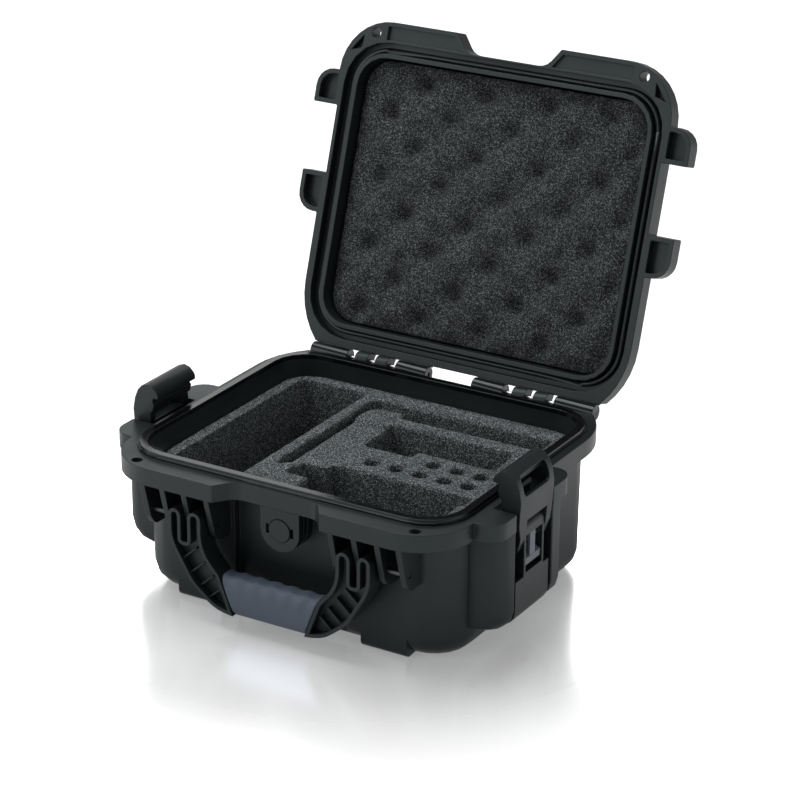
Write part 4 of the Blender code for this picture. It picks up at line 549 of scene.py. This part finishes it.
def in_rounded_sheet(u, v, half_x, half_y, corner):
    """Bend a square grid (-1 to 1) into a rectangle with round corners.

    A ray from the centre through each point meets the square's edge and the
    rounded edge; points near the edge are drawn in by the ratio of the two,
    and points near the centre stay.
    """
    x, y = np.abs(u) * half_x, np.abs(v) * half_y
    reach = np.maximum(np.maximum(x / half_x, y / half_y), CENTRE_REACH)
    edge_x, edge_y = x / reach, y / reach
    inner_x, inner_y = half_x - corner, half_y - corner
    a = edge_x ** 2 + edge_y ** 2
    b = edge_x * inner_x + edge_y * inner_y
    c = inner_x ** 2 + inner_y ** 2 - corner ** 2
    rounded = (b + np.sqrt(np.maximum(b * b - a * c, 0))) / a
    share = np.where((edge_x > inner_x) & (edge_y > inner_y), rounded, 1.0)
    share = 1 - (1 - share) * reach ** BEND_POWER
    return u * half_x * share, v * half_y * share, reach


def soft_noise(x, y, size, seed):
    """Smooth chance over a plane: a few waves of about one size, in chance directions, added up."""
    chance = np.random.default_rng(seed)
    total = np.zeros_like(x)
    angles, phases = chance.random(WAVE_COUNT) * math.tau, chance.random(WAVE_COUNT) * math.tau
    stretches = WAVE_SHORTEST + WAVE_SPREAD * chance.random(WAVE_COUNT)
    for angle, phase, stretch in zip(angles, phases, stretches):
        total += np.sin((x * math.cos(angle) + y * math.sin(angle)) * math.tau / (size * stretch) + phase)
    return total / math.sqrt(WAVE_COUNT)


def foam_face(rows, columns):
    """The sheet's face with the lid closed, where it looks down: a grid of points.

    The wave is the cosine of x times the cosine of y. Half of 1 + wave, to a
    high power, is the hollow; 1 less the same power of half of 1 - wave lifts
    all but the crowns' tops. Both are weighed by a smooth step inward from
    the left and right edges. Two soft chances change the hollows' depths and
    ripple the face, and a steep power of the way out sets back the rim.
    """
    half_y, middle_y = (SHEET_REAR - SHEET_FRONT) / 2, (SHEET_REAR + SHEET_FRONT) / 2
    v, u = np.meshgrid(np.linspace(-1, 1, rows), np.linspace(-1, 1, columns), indexing="ij")
    x, y, reach = in_rounded_sheet(u, v, SHEET_HALF_X, half_y, SHEET_CORNER)
    y = y + middle_y
    wave = np.cos(math.tau * (x / PITCH_X - START_X)) * np.cos(math.tau * (y / PITCH_Y - START_Y))
    inward = np.clip((SHEET_HALF_X - np.abs(x)) / SIDE_BAND, 0, 1)
    inward = inward * inward * (3 - 2 * inward)
    depth = 1 + DEPTH_CHANCE * soft_noise(x, y, DEPTH_CHANCE_SIZE, DEPTH_SEED)
    hollow = ((1 + wave) / 2) ** LATTICE_POWER * depth * inward
    crown = 1 - ((1 - wave) / 2) ** LATTICE_POWER * inward
    ripple = FACE_RIPPLE * (1 + soft_noise(x, y, FACE_RIPPLE_SIZE, FACE_SEED)) / 2
    height = SHEET_CROWN + HOLLOW_DEPTH * hollow + CROWN_RISE * crown + ripple
    height = height + EDGE_DROP * reach ** EDGE_POWER
    return np.stack([x, y, height], axis=-1)


def rim(grid):
    """The border of a grid, once round."""
    return np.concatenate([grid[0, :-1], grid[:-1, -1], grid[-1, :0:-1], grid[:0:-1, 0]])


def sheet_from(face, back, steps):
    """Points, faces and the back's corners of a sheet: its face, and straight walls to a level back."""
    rows, columns = face.shape[:2]
    edge = rim(face)
    levels = np.linspace(0, 1, steps + 1)[1:, None, None]
    walls = edge[None] * (1 - levels) + np.array([0, 0, back]) * levels
    walls[..., :2] = edge[None, :, :2]
    numbers = rows * columns + np.arange(steps * len(edge)).reshape(steps, -1)
    numbers = np.concatenate([rim(np.arange(rows * columns).reshape(rows, columns))[None], numbers])
    beside = np.roll(numbers, -1, axis=1)
    wall_faces = np.stack([numbers[:-1], beside[:-1], beside[1:], numbers[1:]], axis=-1).reshape(-1, 4)
    points = np.concatenate([face.reshape(-1, 3), walls.reshape(-1, 3)])
    return points, np.concatenate([grid_faces(rows, columns), wall_faces]), numbers[-1].tolist()


sheet_front = foam_face(SHEET_ROWS, SHEET_COLUMNS)
sheet_points, sheet_faces, sheet_back = sheet_from(sheet_front, SHEET_BACK, WALL_STEPS)
sheet_mesh = mesh_of("lid_sheet_foam", swing_open(sheet_points), sheet_faces, [sheet_back])
lid_sheet = put("lid_sheet_foam", sheet_mesh, shaded_sheet_foam, "lid", "foam", "lid_foam")
print("lid foam:", len(sheet_mesh.polygons), "faces")

# %% [markdown]
# ## The cut foam block
#
# The block in the base was cut with pockets, a trench and round holes. Foam
# has no sharp corners: the cutter drags it and it springs back. Bevels on so
# many crossing cuts would break, so the copy is rebuilt from small cubes and
# smoothed, which rounds every edge alike, and a slight chance ripple is added
# along its normals. The ripple is taken from a slanted plane, so that it
# shows on level and upright faces alike.

# %% Rounding the cut foam
BLOCK_CUBE, BLOCK_SMOOTHING, BLOCK_RIPPLE = 0.0014, 2, 0.00010
FLOOR_CUBE, FLOOR_SMOOTHING, FLOOR_RIPPLE = 0.00224, 3, 0.00015
SMOOTHING_SHARE = 0.5
RIPPLE_SIZE, RIPPLE_SEED = 0.009, 11
SLANT_X, SLANT_Y = 0.7, 0.6


def rounded_foam(node_name, piece_name, cube, smoothing, ripple):
    """Rebuild a solid from cubes, smooth it, and push each point along its normal by soft chance."""
    piece = show(piece_name, welded(node_name, piece_name))
    cubes = piece.modifiers.new("cubes", "REMESH")
    cubes.mode, cubes.voxel_size, cubes.use_smooth_shade = "VOXEL", cube, True
    soften = piece.modifiers.new("soften", "SMOOTH")
    soften.factor, soften.iterations = SMOOTHING_SHARE, smoothing
    ready = piece.evaluated_get(bpy.context.evaluated_depsgraph_get())
    result = bpy.data.meshes.new_from_object(ready)
    bpy.data.objects.remove(piece)
    result.name = piece_name
    count = len(result.vertices)
    points, normals = np.empty(count * 3), np.empty(count * 3)
    result.vertices.foreach_get("co", points)
    result.vertex_normals.foreach_get("vector", normals)
    points, normals = points.reshape(-1, 3), normals.reshape(-1, 3)
    push = soft_noise(points[:, 0] + points[:, 2] * SLANT_X, points[:, 1] - points[:, 2] * SLANT_Y,
                      RIPPLE_SIZE, RIPPLE_SEED)
    points = points + normals * (push * ripple)[:, None]
    result.vertices.foreach_set("co", points.ravel())
    result.update()
    result.shade_smooth()
    return result


block_mesh = rounded_foam("base_foam_insert", "cut_foam_block", BLOCK_CUBE, BLOCK_SMOOTHING, BLOCK_RIPPLE)
block = put("cut_foam_block", block_mesh, block_foam, "case", "foam", "base_foam_insert")
floor_mesh = rounded_foam("base_foam_pad", "floor_foam", FLOOR_CUBE, FLOOR_SMOOTHING, FLOOR_RIPPLE)
floor_pad = put("floor_foam", floor_mesh, block_foam, "case", "foam", "base_foam_pad")
print("cut foam:", len(block_mesh.polygons), "faces, floor foam:", len(floor_mesh.polygons), "faces")

# %% [markdown]
# ## The seal
#
# A soft cord of rubber runs in the lid's groove. A curve with a bevel would
# also do, but carrying a profile round the opening keeps it flat against the
# groove's floor. Its crown is round, so it shows one thin line of light.

# %% The seal's profile, carried round the opening
OPENING_HALF, OPENING_FRONT, OPENING_REAR, OPENING_CORNER = 0.1270, -0.1050, 0.1085, 0.0270
ARC_STEPS, SIDE_STEPS = 20, 6
SEAL_INNER, SEAL_OUTER, SEAL_FLOOR, SEAL_CROWN = -0.0003, 0.0040, 0.1177, 0.1143
SEAL_ROUNDNESS, SEAL_STEPS = 0.7, 10


def opening_path(grow):
    """The rounded opening, grown outward: four straight sides, each followed by a quarter circle."""
    radius = OPENING_CORNER + grow
    turn = np.linspace(0, math.pi / 2, ARC_STEPS, endpoint=False)
    right = OPENING_HALF - OPENING_CORNER
    front, rear = OPENING_FRONT + OPENING_CORNER, OPENING_REAR - OPENING_CORNER
    corners = [(right, front, -math.pi / 2), (right, rear, 0.0), (-right, rear, math.pi / 2),
               (-right, front, math.pi)]
    arcs = [np.stack([cx + radius * np.cos(start + turn), cy + radius * np.sin(start + turn)], axis=-1)
            for cx, cy, start in corners]
    pieces = []
    for arc, following in zip(arcs, arcs[1:] + arcs[:1]):
        share = np.linspace(0, 1, SIDE_STEPS, endpoint=False)[:, None]
        pieces += [arc, arc[-1] * (1 - share) + following[0] * share]
    return np.concatenate(pieces)


def cord_profile(inner, outer, floor, crown):
    """Half an ellipse, slightly squared, from the inner to the outer edge of the groove's floor."""
    turn = np.linspace(0, math.pi, SEAL_STEPS + 1)
    out = (inner + outer) / 2 - np.cos(turn) * (outer - inner) / 2
    up = floor + (crown - floor) * np.sin(turn) ** SEAL_ROUNDNESS
    return list(zip(out, up))


profile = cord_profile(SEAL_INNER, SEAL_OUTER, SEAL_FLOOR, SEAL_CROWN)
rings = [np.column_stack([opening_path(out), np.full(len(opening_path(out)), up)]) for out, up in profile]
seal_points = swing_open(np.concatenate(rings))
seal_faces = grid_faces(len(rings), len(rings[0]), round_rows=True, round_columns=True)
seal_mesh = mesh_of("lid_seal", seal_points, seal_faces)
seal = put("lid_seal", seal_mesh, seal_rubber, "lid", "seal", "lid_gasket")
print("seal:", len(seal.data.polygons), "faces")

# %% [markdown]
# ## The grip
#
# The grip is soft rubber moulded over the bar. Its upper side dips in shallow
# waves for the fingers, and its ends lean outward to meet the arms. Each
# slice is a rounded rectangle, given by a superellipse.

# %% The grip's slices
GRIP_LOW, GRIP_HIGH, GRIP_SHORT, GRIP_LONG = 0.0120, 0.0415, 0.0290, 0.0405
GRIP_FRONT, GRIP_BACK = -0.1260, -0.1080
GRIP_SQUARENESS = 3.6
GRIP_WAVES, WAVE_DEPTH = 6, 0.0009
WAVES_FROM, WAVES_POWER = -0.3, 1.5
END_FROM, END_ROUNDING = 0.965, 0.0012
SLICES, AROUND = 181, 64
GRIP_EDGE_ANGLE = math.radians(50)


def grip_surface(slices, around):
    """Slices across the bar; each is |y|^n + |z|^n = 1 stretched to size, and x grows with height.

    A cosine along the bar makes the waves, which fade out downward, and the
    last bit of either end is drawn in by a square.
    """
    u = np.linspace(-1, 1, slices)[:, None]
    turn = np.linspace(0, math.tau, around, endpoint=False)[None, :]
    power = 2 / GRIP_SQUARENESS
    y = np.sign(np.cos(turn)) * np.abs(np.cos(turn)) ** power
    z = np.sign(np.sin(turn)) * np.abs(np.sin(turn)) ** power
    dip = WAVE_DEPTH * (1 - np.cos(math.tau * GRIP_WAVES * (u + 1) / 2)) / 2
    dip = dip * np.clip((z - WAVES_FROM) / (1 - WAVES_FROM), 0, 1) ** WAVES_POWER
    ends = END_ROUNDING * np.clip((np.abs(u) - END_FROM) / (1 - END_FROM), 0, 1) ** 2
    half_y = (GRIP_BACK - GRIP_FRONT) / 2 - dip - ends
    half_z = (GRIP_HIGH - GRIP_LOW) / 2 - dip - ends
    height = (GRIP_HIGH + GRIP_LOW) / 2 + z * half_z
    half_length = GRIP_SHORT + (GRIP_LONG - GRIP_SHORT) * (height - GRIP_LOW) / (GRIP_HIGH - GRIP_LOW)
    depth = (GRIP_FRONT + GRIP_BACK) / 2 + y * half_y
    return np.stack([u * half_length, depth, height], axis=-1)


grip_points = grip_surface(SLICES, AROUND).reshape(-1, 3)
grip_faces = grid_faces(SLICES, AROUND, round_columns=True)
caps = [list(range(AROUND)), list(range((SLICES - 1) * AROUND, SLICES * AROUND))]
grip_mesh = mesh_of("hand_grip", grip_points, grip_faces, caps)
grip_mesh.set_sharp_from_angle(angle=GRIP_EDGE_ANGLE)
grip = put("hand_grip", grip_mesh, grip_rubber, "handle", "grip", "handle_grip")
print("grip:", len(grip_mesh.polygons), "faces")
